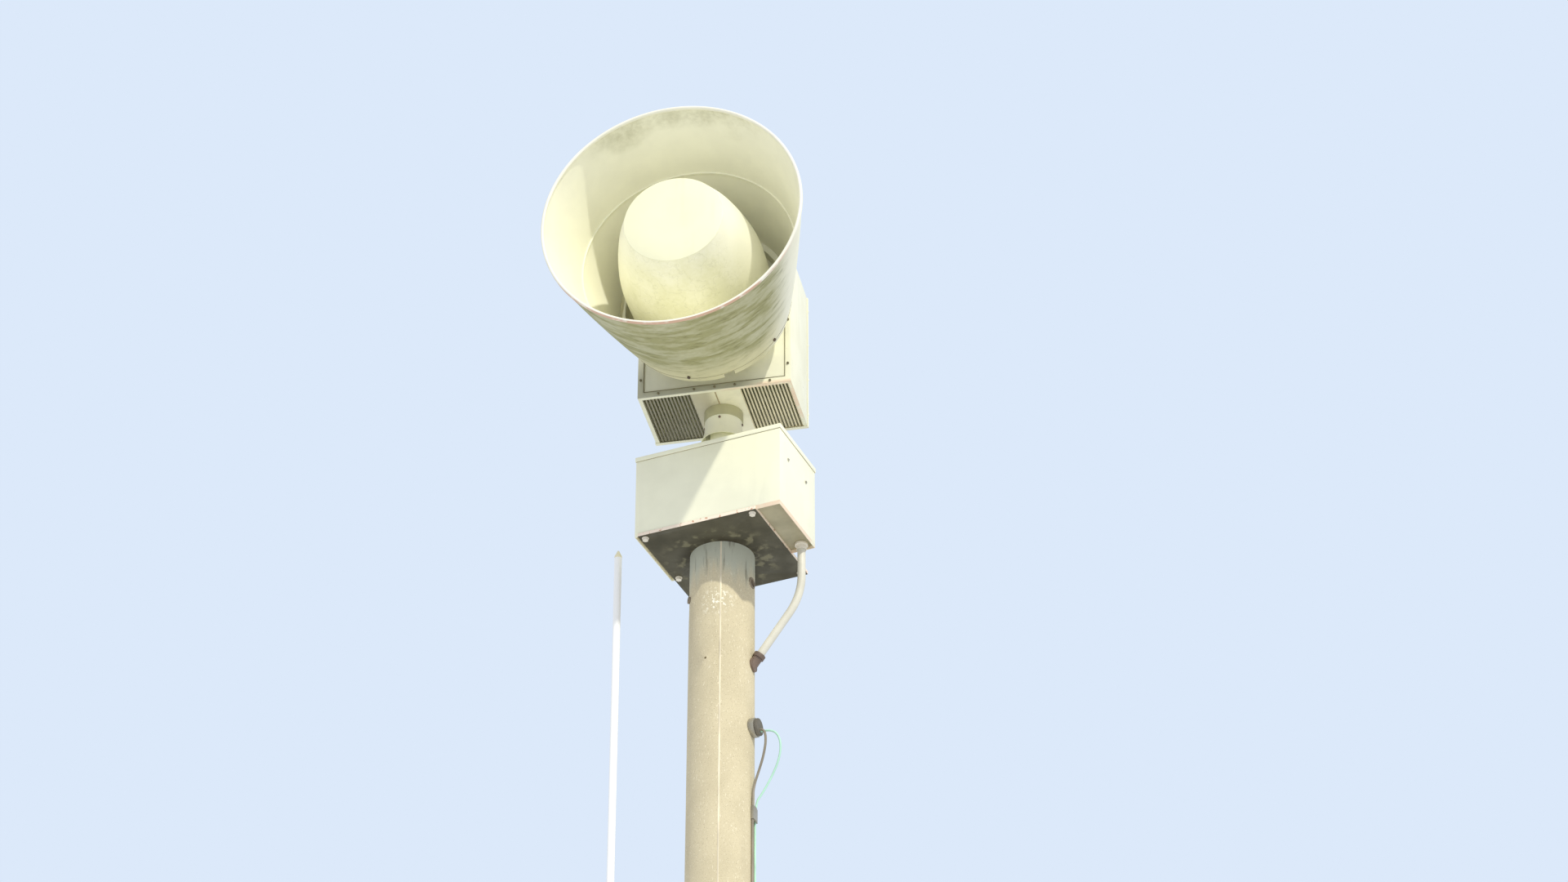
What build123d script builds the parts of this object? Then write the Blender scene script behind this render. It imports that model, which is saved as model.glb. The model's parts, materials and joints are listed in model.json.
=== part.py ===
from build123d import *
import os
from math import cos, radians, sin

# Civil defense siren on a hollow concrete pole, in millimetres, +Z up
# The origin is the centre of the pole's foot at ground level, and the horn faces -Y at rest.
# The pole and what is fixed to it stand still, and the head above the neck turns about +Z.
# Heights of everything above the pole are measured from the pole's top.

# Fits and sheet
SEAT = 0.3                # gap under a piece that sits on a curved face, and round a loose fit
SHEET = 2.5               # folded sheet of the box and the housing

# Pole
POLE_HEIGHT = 10360.0
POLE_TOP_DIA = 224.4
POLE_TAPER = 5.0          # growth of the diameter in each metre down
POLE_WALL = 60.0
POLE_BUTT = 150.0         # solid concrete at the foot

# Cast-in sleeves of the pole: bearing, drop below the top, outer radius, bore radius, stand-out
SLEEVE_LENGTH = 30.0
SLEEVES = [(-12.3, 128.6, 20.0, 13.0, 3.0), (-154.7, 187.0, 12.0, 4.0, 7.0)]
FORM_HOLE_BEARING = -106.3
FORM_HOLE_DROP = 459.5
FORM_HOLE_RADIUS = 4.5
FORM_HOLE_DEPTH = 30.0

# Fixed box and its plate, turned against the horn's rest direction
BASE_TURN = -11.6
PLATE_THICK = 12.7
PLATE_LEFT, PLATE_RIGHT = -209.0, 231.0
PLATE_FRONT, PLATE_REAR = -244.0, 209.5
PLATE_BOLT_INSET = 20.0
PLATE_BOLT_RADIUS = 6.0
PLATE_SIDE_BOLT_Y = 52.0  # extra bolt at the left edge
BOX_LEFT, BOX_RIGHT = -222.0, 320.0
BOX_FRONT, BOX_REAR = -241.0, 65.0
BOX_HEIGHT = 328.0
LID_LIP = 17.0

# Neck
STUB_RADIUS = 47.0
STUB_WALL = 8.0
STUB_FLANGE_RADIUS = 82.0
STUB_FLANGE_THICK = 10.0
STUB_BOLT_CIRCLE = 66.0
COLLAR_RADIUS = 69.0
COLLAR_DEPTH = 42.0
COLLAR_ROOF = 4.0
SKIRT_TOP_RADIUS = 66.0
SKIRT_BAND = 24.0         # straight band below the collar
SKIRT_RADIUS = 80.0
SKIRT_BOTTOM = 476.0

# Housing of the head
HOUSING_WIDTH = 550.0
HOUSING_FRONT, HOUSING_REAR = -159.2, 141.0
HOUSING_BOTTOM, HOUSING_TOP = 602.3, 1156.5
BORDER = 22.0             # flange round the front panel
FLOOR_SIDE = 14.0         # flanges that carry the floor
FLOOR_FRONT = 16.0
FLOOR_REAR = 11.0
COVER_LIP = 14.0
STRIP_WIDTH = 178.0
GRILLE_LAP = 10.0         # grille over the strip's edge
SLOT_COUNT = 14
SLOT_WIDTH = 6.5

# Horn: distances are measured back from the mouth
MOUTH_Y = -850.0
HORN_HEIGHT = 867.2
MOUTH_RADIUS = 457.0
BELL_WALL = 5.0
BELL_MID, BELL_MID_RADIUS = 300.0, 381.0
BELL_END, BELL_END_RADIUS = 556.0, 305.8
SEAM = 283.0              # joint of the front and the rear bell
SEAM_LIP = 5.0
SEAM_LIP_LENGTH = 9.0
BEAD = 11.0               # rolled mouth edge
TAB_START, TAB_SWEEP, TAB_LENGTH = 257.5, 24.5, 34.0
BAND_LAP = 22.0           # rear band inside the rim
BAND_REACH = 44.0         # rear band behind the rim
BAND_START = BELL_END - BAND_LAP
BAND_END = BELL_END + BAND_REACH
BAND_THICK = 4.0
NOTCH_START, NOTCH_SWEEP, NOTCH_DEPTH = 282.0, 7.5, 34.0
RIM_BOLT_ANGLES = [260.0, 322.0, 44.0, 149.0]
RIM_BOLT_INSET = 18.0
RIM_BOLT_BACK = BELL_END - RIM_BOLT_INSET
RIM_BOLT_RADIUS = 6.0
RIM_BOLT_HEAD = 5.0
BACK_PLATE_RECESS = 19.0
BACK_PLATE_START = BAND_END - BACK_PLATE_RECESS
BACK_PLATE_THICK = 6.0
THROAT_RING_RADIUS = 190.0
THROAT_RING_WALL = 8.0

# Dome in the horn: face, then radii along its side
FACE_BACK = 39.0
FACE_THICK = 4.0
FACE_RADIUS = 174.0
DOME_WALL = 4.0
DOME_SIDE = [(190.0, 76.0), (212.0, 130.0), (239.0, 230.0), (254.0, 335.0)]
DOME_END_RADIUS, DOME_END = 252.0, 470.0
DOME_BACK_THICK = 6.0
STEM_RADIUS = 112.0
STEM_WALL = 6.0

# Conduit from the box down to the pole
CONDUIT_RADIUS = 14.0
CONDUIT_WALL = 2.0
CONDUIT_TOP = (282.0, -18.0)
CONDUIT_CORNER_DROP = 196.0
CONDUIT_BEND = 260.0
ENTRY_BEARING = -7.7
ENTRY_DROP = 452.0
ENTRY_RADIUS = 17.0
ENTRY_LENGTH = 46.0
ENTRY_NUT_RADIUS = 21.0
ENTRY_NUT_LENGTH = 15.0
ENTRY_FLANGE_RADIUS = 25.0
ENTRY_FLANGE_THICK = 7.0
SOCKET_DEPTH = 22.0       # conduit inside its connector and its entry
CONNECTOR_RADIUS = 17.5
CONNECTOR_LENGTH = 26.0
CONNECTOR_NUT_RADIUS = 23.0
CONNECTOR_NUT_LENGTH = 10.0

# Cable gland and the two wires
GLAND_BEARING = -9.8
GLAND_DROP = 702.0
GLAND_RADIUS = 34.0
GLAND_LENGTH = 16.0
GLAND_NUT_RADIUS = 30.5
GLAND_NUT_LENGTH = 13.0
GREY_RADIUS = 4.2
GREEN_RADIUS = 3.6
GREY_BEARING, GREEN_BEARING = -13.0, 1.0
WIRE_EXIT_DROP = 716.0
WIRE_SPACING = 12.0       # between the two wires at the gland
CLIP_DROP = 1029.0
CLIP_BELOW_ARM = 329.0    # first small clip under the antenna's arm
CLIP_FOOT = 331.0         # last small clip above the ground
CLIP_COUNT = 7
CLIP_HEIGHT = 50.0
CLIP_LOW_HEIGHT = 20.0
CLIP_SWEEP = 19.0
CLIP_THICK = 11.5
WIRE_END = 6.0            # above the ground

# Antenna beside the pole
ANTENNA_BEARING = -168.1
ANTENNA_REACH = 359.7
ANTENNA_TOP = 10390.0
ANTENNA_RADIUS = 13.0
ANTENNA_WALL = 3.0
TIP_LENGTH = 30.0
TIP_END_RADIUS = 3.0
ARM_DROP = 2200.0
ARM_HEIGHT = POLE_HEIGHT - ARM_DROP
CLIP_NEXT = ARM_HEIGHT - CLIP_BELOW_ARM
CLIP_PITCH = (CLIP_NEXT - CLIP_FOOT) / (CLIP_COUNT - 2)
FERRULE_ABOVE = 160.0     # over the arm's middle
FERRULE_BELOW = 110.0
FERRULE_TOP = ARM_HEIGHT + FERRULE_ABOVE
FERRULE_BOTTOM = ARM_HEIGHT - FERRULE_BELOW
FERRULE_RADIUS = 17.0
FERRULE_SOCKET = 60.0
ARM_SIZE = 40.0
ARM_WALL = 3.0
ARM_PLATE = 8.0
ARM_PLATE_HEIGHT = 150.0
CLAMP_ROD = 4.0
CLAMP_OFFSET = 52.0
BAND_HEIGHT = 120.0
POLE_BAND_THICK = 8.0
LUG_LENGTH = 36.0
LUG_THICK = 10.0
LUG_SPLIT = 8.0


def block(x0, x1, y0, y1, z0, z1):
    """Box between two corners."""
    return Pos((x0 + x1) / 2, (y0 + y1) / 2, (z0 + z1) / 2) * Box(x1 - x0, y1 - y0, z1 - z0)


def post(radius, z0, z1, x=0.0, y=0.0):
    """Upright cylinder between two heights."""
    return Pos(x, y, (z0 + z1) / 2) * Cylinder(radius, z1 - z0)


def tube(radius, wall, z0, z1, x=0.0, y=0.0):
    """Upright tube between two heights."""
    return post(radius, z0, z1, x, y) - post(radius - wall, z0 - 1, z1 + 1, x, y)


def hexagon(across, z0, z1, x=0.0, y=0.0):
    """Upright six-sided head between two heights."""
    return Pos(x, y, z0) * extrude(RegularPolygon(across / 2, 6, major_radius=False), z1 - z0)


def rod_between(start, end, radius):
    """Cylinder from one point to another."""
    start, end = Vector(*start), Vector(*end)
    return Plane(origin=start, z_dir=end - start) * extrude(Circle(radius), (end - start).length)


def polar(bearing, reach, z):
    """Point at a bearing and a distance from the pole's axis."""
    return (reach * cos(radians(bearing)), reach * sin(radians(bearing)), z)


def on_top(shape):
    """Lift a shape that is drawn from the pole's top."""
    return Pos(0, 0, POLE_HEIGHT) * shape


def on_base(shape):
    """Lift and turn a shape that belongs to the fixed box."""
    return Location((0, 0, POLE_HEIGHT), (0, 0, BASE_TURN)) * shape


def pole_radius(z):
    """Outer radius of the pole at a height."""
    return POLE_TOP_DIA / 2 + (POLE_HEIGHT - z) / 1000 * POLE_TAPER / 2


def pole_body(grow=0.0):
    """Tapered outside of the pole, with an allowance."""
    foot, top = pole_radius(0) + grow, pole_radius(POLE_HEIGHT) + grow
    return revolve(Plane.XZ * make_face(Polyline(
        (0, 0), (foot, 0), (top, POLE_HEIGHT), (0, POLE_HEIGHT), close=True)), Axis.Z)


def pole_shaft():
    """Hollow concrete pole with its sleeve holes."""
    top = POLE_TOP_DIA / 2 - POLE_WALL
    butt = pole_radius(POLE_BUTT) - POLE_WALL
    bore = revolve(Plane.XZ * make_face(Polyline(
        (0, POLE_BUTT), (butt, POLE_BUTT), (top, POLE_HEIGHT + 1), (0, POLE_HEIGHT + 1), close=True)), Axis.Z)
    shaft = pole_body() - bore
    for bearing, drop, radius, hole, proud in SLEEVES:
        z = POLE_HEIGHT - drop
        face = pole_radius(z)
        shaft -= rod_between(polar(bearing, face - SLEEVE_LENGTH, z), polar(bearing, face + 10, z), radius + SEAT)
    z = POLE_HEIGHT - FORM_HOLE_DROP
    face = pole_radius(z)
    shaft -= rod_between(
        polar(FORM_HOLE_BEARING, face - FORM_HOLE_DEPTH, z), polar(FORM_HOLE_BEARING, face + 10, z), FORM_HOLE_RADIUS)
    return shaft


def pole_sleeves():
    """Rings cast into the pole's wall."""
    rings = []
    for bearing, drop, radius, hole, proud in SLEEVES:
        z = POLE_HEIGHT - drop
        face = pole_radius(z)
        inner, outer = polar(bearing, face - SLEEVE_LENGTH, z), polar(bearing, face + proud, z)
        ring = rod_between(inner, outer, radius)
        ring -= rod_between(polar(bearing, face - SLEEVE_LENGTH / 2, z), polar(bearing, face + proud + 1, z), hole)
        rings.append(ring)
    return Compound(rings)


def bolt_places():
    """Bolts of the plate: four corners and one at the left edge."""
    left, right = PLATE_LEFT + PLATE_BOLT_INSET, PLATE_RIGHT - PLATE_BOLT_INSET
    front, rear = PLATE_FRONT + PLATE_BOLT_INSET, PLATE_REAR - PLATE_BOLT_INSET
    return [(left, front), (right, front), (right, rear), (left, rear), (left, PLATE_SIDE_BOLT_Y)]


def base_plate():
    """Steel plate on the pole's top."""
    plate = block(PLATE_LEFT, PLATE_RIGHT, PLATE_FRONT, PLATE_REAR, 0, PLATE_THICK)
    for x, y in bolt_places():
        plate -= post(PLATE_BOLT_RADIUS + SEAT, -1, PLATE_THICK + 1, x, y)
    return on_base(plate)


def plate_bolts():
    """Hexagon bolts with washers under the plate."""
    bolts = []
    for x, y in bolt_places():
        bolt = post(PLATE_BOLT_RADIUS * 2, -2, 0, x, y) + hexagon(PLATE_BOLT_RADIUS * 3.1, -10, -2, x, y)
        bolt += post(PLATE_BOLT_RADIUS, 0, PLATE_THICK - SEAT, x, y)
        bolts.append(on_base(bolt))
    return Compound(bolts)


def base_box_floor():
    """Floor sheet of the box, seen from below beside the plate."""
    floor = block(BOX_LEFT + SHEET + SEAT, BOX_RIGHT - SHEET - SEAT,
                  BOX_FRONT + SHEET + SEAT, BOX_REAR - SHEET - SEAT, PLATE_THICK, PLATE_THICK + SHEET)
    return on_base(floor)


def base_box_shell():
    """Four walls, notched where they stand on the plate."""
    walls = block(BOX_LEFT, BOX_RIGHT, BOX_FRONT, BOX_REAR, 0, BOX_HEIGHT - SHEET)
    walls -= block(BOX_LEFT + SHEET, BOX_RIGHT - SHEET, BOX_FRONT + SHEET, BOX_REAR - SHEET, -1, BOX_HEIGHT)
    walls -= block(PLATE_LEFT - 1, PLATE_RIGHT + 1, PLATE_FRONT - 1, PLATE_REAR, -1, PLATE_THICK)
    return on_base(walls)


def base_box_lid():
    """Lid with a turned-down lip."""
    out = SEAT + SHEET
    lid = block(BOX_LEFT - out, BOX_RIGHT + out, BOX_FRONT - out, BOX_REAR + out, BOX_HEIGHT - LID_LIP, BOX_HEIGHT)
    lid -= block(BOX_LEFT - SEAT, BOX_RIGHT + SEAT, BOX_FRONT - SEAT, BOX_REAR + SEAT,
                 BOX_HEIGHT - LID_LIP - 1, BOX_HEIGHT - SHEET)
    return on_base(lid)


def stub_top():
    """Height of the fixed neck's end, under the collar's roof."""
    return HOUSING_BOTTOM - COLLAR_ROOF - SEAT


def neck_stub():
    """Fixed tube that the head turns on."""
    return on_top(tube(STUB_RADIUS, STUB_WALL, BOX_HEIGHT, stub_top()))


def stub_flange():
    """Flange and bolts that hold the neck to the lid."""
    flange = post(STUB_FLANGE_RADIUS, BOX_HEIGHT, BOX_HEIGHT + STUB_FLANGE_THICK)
    flange -= post(STUB_RADIUS + SEAT, BOX_HEIGHT - 1, BOX_HEIGHT + STUB_FLANGE_THICK + 1)
    top = BOX_HEIGHT + STUB_FLANGE_THICK
    for place in PolarLocations(STUB_BOLT_CIRCLE, 4, start_angle=45):
        flange += place * hexagon(19, top, top + 9)
    return on_top(flange)


def neck_collar():
    """Bearing collar under the housing."""
    collar = post(COLLAR_RADIUS, HOUSING_BOTTOM - COLLAR_DEPTH, HOUSING_BOTTOM)
    collar -= post(STUB_RADIUS + SEAT, HOUSING_BOTTOM - COLLAR_DEPTH - 1, HOUSING_BOTTOM - COLLAR_ROOF)
    return on_top(collar)


def skirt_outline(inset):
    """Half outline of the skirt's outside or inside, closed to the axis."""
    top = HOUSING_BOTTOM - COLLAR_DEPTH
    knee = top - SKIRT_BAND
    side = Line((SKIRT_TOP_RADIUS - inset, top), (SKIRT_TOP_RADIUS - inset, knee))
    flare = TangentArc((SKIRT_TOP_RADIUS - inset, knee), (SKIRT_RADIUS - inset, SKIRT_BOTTOM), tangent=(0, -1))
    rest = Polyline((SKIRT_RADIUS - inset, SKIRT_BOTTOM), (0, SKIRT_BOTTOM), (0, top), (SKIRT_TOP_RADIUS - inset, top))
    return revolve(Plane.XZ * make_face([side, flare, rest]), Axis.Z)


def rain_skirt():
    """Flared skirt that sheds rain over the neck."""
    return on_top(skirt_outline(0.0) - skirt_outline(SHEET))


def collar_screws():
    """Socket screws round the skirt's band."""
    z = POLE_HEIGHT + HOUSING_BOTTOM - COLLAR_DEPTH - SKIRT_BAND / 2
    screws = []
    for bearing in (0, 90, 180, 270):
        inner = polar(bearing, SKIRT_TOP_RADIUS + 0.2, z)
        screw = rod_between(inner, polar(bearing, SKIRT_TOP_RADIUS + 4, z), 4.5)
        screw -= rod_between(polar(bearing, SKIRT_TOP_RADIUS + 2, z), polar(bearing, SKIRT_TOP_RADIUS + 5, z), 2.2)
        screws.append(screw)
    return Compound(screws)


def housing_shell():
    """Folded body: sides, top, front border and floor flanges."""
    half = HOUSING_WIDTH / 2
    body = block(-half, half, HOUSING_FRONT, HOUSING_REAR - SHEET, HOUSING_BOTTOM, HOUSING_TOP)
    body -= block(-half + SHEET, half - SHEET, HOUSING_FRONT + SHEET, HOUSING_REAR,
                  HOUSING_BOTTOM + SHEET, HOUSING_TOP - SHEET)
    body -= block(-half + BORDER, half - BORDER, HOUSING_FRONT - 1, HOUSING_FRONT + SHEET + 1,
                  HOUSING_BOTTOM + BORDER, HOUSING_TOP - BORDER)
    body -= block(-half + FLOOR_SIDE, half - FLOOR_SIDE, HOUSING_FRONT + FLOOR_FRONT, HOUSING_REAR - FLOOR_REAR,
                  HOUSING_BOTTOM - 1, HOUSING_BOTTOM + SHEET + 1)
    return on_top(body)


def housing_front_panel():
    """Panel behind the front border."""
    side = HOUSING_WIDTH / 2 - SHEET - SEAT
    panel = block(-side, side, HOUSING_FRONT + SHEET, HOUSING_FRONT + 2 * SHEET,
                  HOUSING_BOTTOM + SHEET + SEAT, HOUSING_TOP - SHEET - SEAT)
    return on_top(panel)


def housing_rear_cover():
    """Tray-shaped cover over the rear."""
    half = HOUSING_WIDTH / 2
    out = SEAT + SHEET
    cover = block(-half - out, half + out, HOUSING_REAR - COVER_LIP, HOUSING_REAR,
                  HOUSING_BOTTOM - out, HOUSING_TOP + out)
    cover -= block(-half - SEAT, half + SEAT, HOUSING_REAR - COVER_LIP - 1, HOUSING_REAR - SHEET,
                   HOUSING_BOTTOM - SEAT, HOUSING_TOP + SEAT)
    return on_top(cover)


def floor_strip():
    """Plain middle of the floor, flush with the flanges, in two halves with a seam."""
    half = STRIP_WIDTH / 2
    front, rear = HOUSING_FRONT + FLOOR_FRONT + SEAT, HOUSING_REAR - FLOOR_REAR - SEAT
    strip = block(-half, half, front, rear, HOUSING_BOTTOM, HOUSING_BOTTOM + SHEET)
    strip -= block(-0.6, 0.6, front - 1, -COLLAR_RADIUS, HOUSING_BOTTOM - 1, HOUSING_BOTTOM + SHEET / 2)
    return on_top(strip)


def grille(side):
    """Slotted floor panel, on the right for +1 and on the left for -1."""
    inner = STRIP_WIDTH / 2 - GRILLE_LAP
    outer = HOUSING_WIDTH / 2 - SHEET - SEAT
    front = HOUSING_FRONT + 2 * SHEET + SEAT
    rear = HOUSING_REAR - SHEET - SEAT
    low, high = HOUSING_BOTTOM + SHEET, HOUSING_BOTTOM + 2 * SHEET
    panel = block(inner, outer, front, rear, low, high)
    slots_from, slots_to = STRIP_WIDTH / 2, HOUSING_WIDTH / 2 - FLOOR_SIDE
    pitch = (slots_to - slots_from) / SLOT_COUNT
    slot_front, slot_rear = HOUSING_FRONT + FLOOR_FRONT + 2, HOUSING_REAR - FLOOR_REAR - 2
    for index in range(SLOT_COUNT):
        x = slots_from + (index + 0.5) * pitch
        panel -= block(x - SLOT_WIDTH / 2, x + SLOT_WIDTH / 2, slot_front, slot_rear, low - 1, high + 1)
    if side < 0:
        panel = mirror(panel, about=Plane.YZ)
    return on_top(panel)


def horn_plane():
    """Drawing plane of the horn: radius across, distance back along."""
    return Plane(origin=(0, MOUTH_Y, POLE_HEIGHT + HORN_HEIGHT), x_dir=(1, 0, 0), z_dir=(0, 0, 1))


def horn_axis():
    """Axis of the horn, so that bearing 0 is +X and 90 is up."""
    return Axis((0, 0, POLE_HEIGHT + HORN_HEIGHT), (0, -1, 0))


def spun(lines):
    """Solid of revolution from outline curves of the horn."""
    return revolve(horn_plane() * make_face(lines), horn_axis())


def ring(inner, outer, start, end):
    """Plain ring of the horn between two distances."""
    return spun(Polyline((inner, start), (outer, start), (outer, end), (inner, end), close=True))


def disc(radius, start, end):
    """Plain disc of the horn between two distances."""
    return spun(Polyline((0, start), (radius, start), (radius, end), (0, end), close=True))


def sector(inner, outer, start, end, angle, sweep):
    """Piece of a ring, cut from one angle over a sweep."""
    face = horn_plane() * make_face(Polyline((inner, start), (outer, start), (outer, end), (inner, end), close=True))
    return revolve(face, horn_axis(), sweep).rotate(horn_axis(), angle)


def bell_radius(back, inset=0.0):
    """Radius of the bell's outside, or inside, at a distance back."""
    arc = ThreePointArc((MOUTH_RADIUS, 0), (BELL_MID_RADIUS, BELL_MID), (BELL_END_RADIUS, BELL_END))
    centre, radius = arc.arc_center, arc.radius
    return centre.X + ((radius ** 2 - (back - centre.Y) ** 2) ** 0.5) * (1 if centre.X < MOUTH_RADIUS else -1) - inset


def flare(inset, start, end):
    """Solid flare of the bell, its wall brought in by an inset."""
    first = (bell_radius(start, inset), start)
    middle = (bell_radius((start + end) / 2, inset), (start + end) / 2)
    last = (bell_radius(end, inset), end)
    return spun([ThreePointArc(first, middle, last), Polyline(last, (0, end), (0, start), first)])


def mouth_bead():
    """Rolled edge of the mouth."""
    outer, inner = MOUTH_RADIUS, MOUTH_RADIUS - BEAD
    half = BEAD / 2
    nose = ThreePointArc((inner, half), ((inner + outer) / 2, 0), (outer, half))
    return spun([nose, Polyline((outer, half), (outer, BEAD), (inner, BEAD), (inner, half))])


def bell_front():
    """Front bell, from the bead to the seam."""
    return flare(0.0, BEAD, SEAM) - flare(BELL_WALL, BEAD, SEAM)


def bell_rear():
    """Rear bell with its lip at the seam and the long tab at its rim."""
    shell = flare(0.0, SEAM, BELL_END + TAB_LENGTH) - flare(BELL_WALL, SEAM, BELL_END + TAB_LENGTH)
    lip_outer = bell_radius(SEAM + SEAM_LIP_LENGTH, BELL_WALL)
    lip_inner = bell_radius(SEAM, BELL_WALL) - SEAM_LIP
    shell += ring(lip_inner, lip_outer + BELL_WALL / 2, SEAM, SEAM + SEAM_LIP_LENGTH)
    shell -= sector(1, MOUTH_RADIUS, BELL_END, BELL_END + TAB_LENGTH + 1, TAB_START + TAB_SWEEP, 360 - TAB_SWEEP)
    return shell


def band_radius():
    """Outside of the rear band, just inside the bell's rim."""
    return bell_radius(BELL_END + TAB_LENGTH, BELL_WALL) - SEAT


def bell_rear_band():
    """Notched band inside the rear rim."""
    outer = band_radius()
    band = ring(outer - BAND_THICK, outer, BAND_START, BAND_END)
    band += ring(outer - BAND_THICK, bell_radius(BAND_START + BAND_THICK, BELL_WALL) - SEAT,
                 BAND_START, BAND_START + BAND_THICK)
    band -= sector(1, MOUTH_RADIUS, BAND_END - NOTCH_DEPTH, BAND_END + 1, NOTCH_START, NOTCH_SWEEP)
    return band


def rim_bolts():
    """Bolts through the rim into the band."""
    bolts = []
    for angle in RIM_BOLT_ANGLES:
        face = bell_radius(RIM_BOLT_BACK)
        plane = horn_plane()
        slope = bell_radius(RIM_BOLT_BACK - RIM_BOLT_RADIUS) - face
        start = plane.from_local_coords(Vector(face + slope + SEAT, RIM_BOLT_BACK, 0))
        end = plane.from_local_coords(Vector(face + slope + SEAT + RIM_BOLT_HEAD, RIM_BOLT_BACK, 0))
        bolt = rod_between(tuple(start), tuple(end), RIM_BOLT_RADIUS)
        bolts.append(bolt.rotate(horn_axis(), angle))
    return Compound(bolts)


def bell_back_plate():
    """Disc that closes the bell's rear."""
    return disc(band_radius() - BAND_THICK - SEAT, BACK_PLATE_START, BACK_PLATE_START + BACK_PLATE_THICK)


def throat_ring():
    """Ring that joins the bell to the housing's front."""
    start = BACK_PLATE_START + BACK_PLATE_THICK
    end = HOUSING_FRONT + SHEET - MOUTH_Y
    return ring(THROAT_RING_RADIUS - THROAT_RING_WALL, THROAT_RING_RADIUS, start, end)


def dome_solid(inset):
    """Solid of the dome behind its face, brought in by an inset."""
    start = FACE_BACK + FACE_THICK
    points = [(FACE_RADIUS, start)] + DOME_SIDE + [(DOME_END_RADIUS, DOME_END)]
    points = [(radius - inset, back) for radius, back in points]
    side = Spline(*points)
    return spun([side, Polyline(points[-1], (0, DOME_END), (0, start), points[0])])


def dome_shell():
    """Ogive shell of the dome."""
    return dome_solid(0.0) - dome_solid(DOME_WALL)


def dome_face():
    """Flat round face, left bare."""
    face = disc(FACE_RADIUS, FACE_BACK, FACE_BACK + FACE_THICK)
    return face


def dome_back():
    """Rear disc of the dome."""
    return disc(DOME_END_RADIUS - SEAT, DOME_END, DOME_END + DOME_BACK_THICK)


def dome_stem():
    """Tube that carries the dome from the bell's back."""
    return ring(STEM_RADIUS - STEM_WALL, STEM_RADIUS, DOME_END + DOME_BACK_THICK, BACK_PLATE_START)


def conduit_points():
    """Top, corner and lower end of the conduit, and the unit vector of its lower run."""
    x, y = CONDUIT_TOP
    corner = Vector(x, y, POLE_HEIGHT - CONDUIT_CORNER_DROP)
    target = Vector(*polar(ENTRY_BEARING, pole_radius(POLE_HEIGHT - ENTRY_DROP), POLE_HEIGHT - ENTRY_DROP))
    along = (target - corner).normalized()
    mouth = target - along * ENTRY_LENGTH
    top = Vector(x, y, POLE_HEIGHT + PLATE_THICK - CONNECTOR_LENGTH + SOCKET_DEPTH)
    return top, corner, mouth + along * SOCKET_DEPTH, along, target


def conduit():
    """Steel conduit with one long bend."""
    top, corner, end, along, target = conduit_points()
    path = FilletPolyline(top, corner, end, radius=CONDUIT_BEND)
    section = Circle(CONDUIT_RADIUS) - Circle(CONDUIT_RADIUS - CONDUIT_WALL)
    return sweep(Plane(origin=path @ 0, z_dir=path % 0) * section, path)


def conduit_connector():
    """Connector that hangs under the box floor, with a domed nut."""
    x, y = CONDUIT_TOP
    top = PLATE_THICK
    body = post(CONNECTOR_RADIUS, top - CONNECTOR_LENGTH, top, x, y)
    body += post(CONNECTOR_NUT_RADIUS, top - CONNECTOR_NUT_LENGTH, top, x, y)
    body -= post(CONDUIT_RADIUS + SEAT, top - CONNECTOR_LENGTH - 1, top - CONNECTOR_LENGTH + SOCKET_DEPTH, x, y)
    return on_top(body)


def pole_conduit_entry():
    """Fitting that leads the conduit into the pole."""
    top, corner, end, along, target = conduit_points()
    mouth = target - along * ENTRY_LENGTH
    body = rod_between(tuple(mouth), tuple(target + along * ENTRY_RADIUS), ENTRY_RADIUS)
    body += rod_between(tuple(mouth), tuple(mouth + along * ENTRY_NUT_LENGTH), ENTRY_NUT_RADIUS)
    z = POLE_HEIGHT - ENTRY_DROP
    face = pole_radius(z)
    body += rod_between(polar(ENTRY_BEARING, face - ENTRY_FLANGE_THICK, z),
                        polar(ENTRY_BEARING, face + ENTRY_FLANGE_THICK, z), ENTRY_FLANGE_RADIUS)
    body -= rod_between(tuple(mouth - along), tuple(mouth + along * SOCKET_DEPTH), CONDUIT_RADIUS + SEAT)
    return body - pole_body(SEAT)


def gland_body():
    """Body of the cable gland, seated on the pole."""
    z = POLE_HEIGHT - GLAND_DROP
    face = pole_radius(z)
    body = rod_between(polar(GLAND_BEARING, face - GLAND_LENGTH, z),
                       polar(GLAND_BEARING, face + GLAND_LENGTH, z), GLAND_RADIUS)
    return body - pole_body(SEAT)


def gland_nut():
    """Clamping nut of the gland, where the wires come out."""
    z = POLE_HEIGHT - GLAND_DROP
    face = pole_radius(z) + GLAND_LENGTH
    return rod_between(polar(GLAND_BEARING, face, z), polar(GLAND_BEARING, face + GLAND_NUT_LENGTH, z), GLAND_NUT_RADIUS)


def wire_route(side, radius, bearing, bulge):
    """Wire from the gland's face, out and down to the pole, and along it to the ground."""
    clip = POLE_HEIGHT - CLIP_DROP
    across = Vector(*polar(GLAND_BEARING + 90, WIRE_SPACING / 2 * side, 0))
    reach = pole_radius(POLE_HEIGHT - GLAND_DROP) + GLAND_LENGTH + GLAND_NUT_LENGTH
    points = [Vector(*polar(GLAND_BEARING, reach, POLE_HEIGHT - WIRE_EXIT_DROP)) + across]
    for share, reach, drop in bulge:
        turned = GLAND_BEARING + share * (bearing - GLAND_BEARING)
        points.append(Vector(*polar(turned, reach, POLE_HEIGHT - drop)) + across * (1 - share))
    for z in (clip + CLIP_HEIGHT, WIRE_END):
        points.append(Vector(*polar(bearing, pole_radius(z) + radius + SEAT, z)))
    return points


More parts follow.
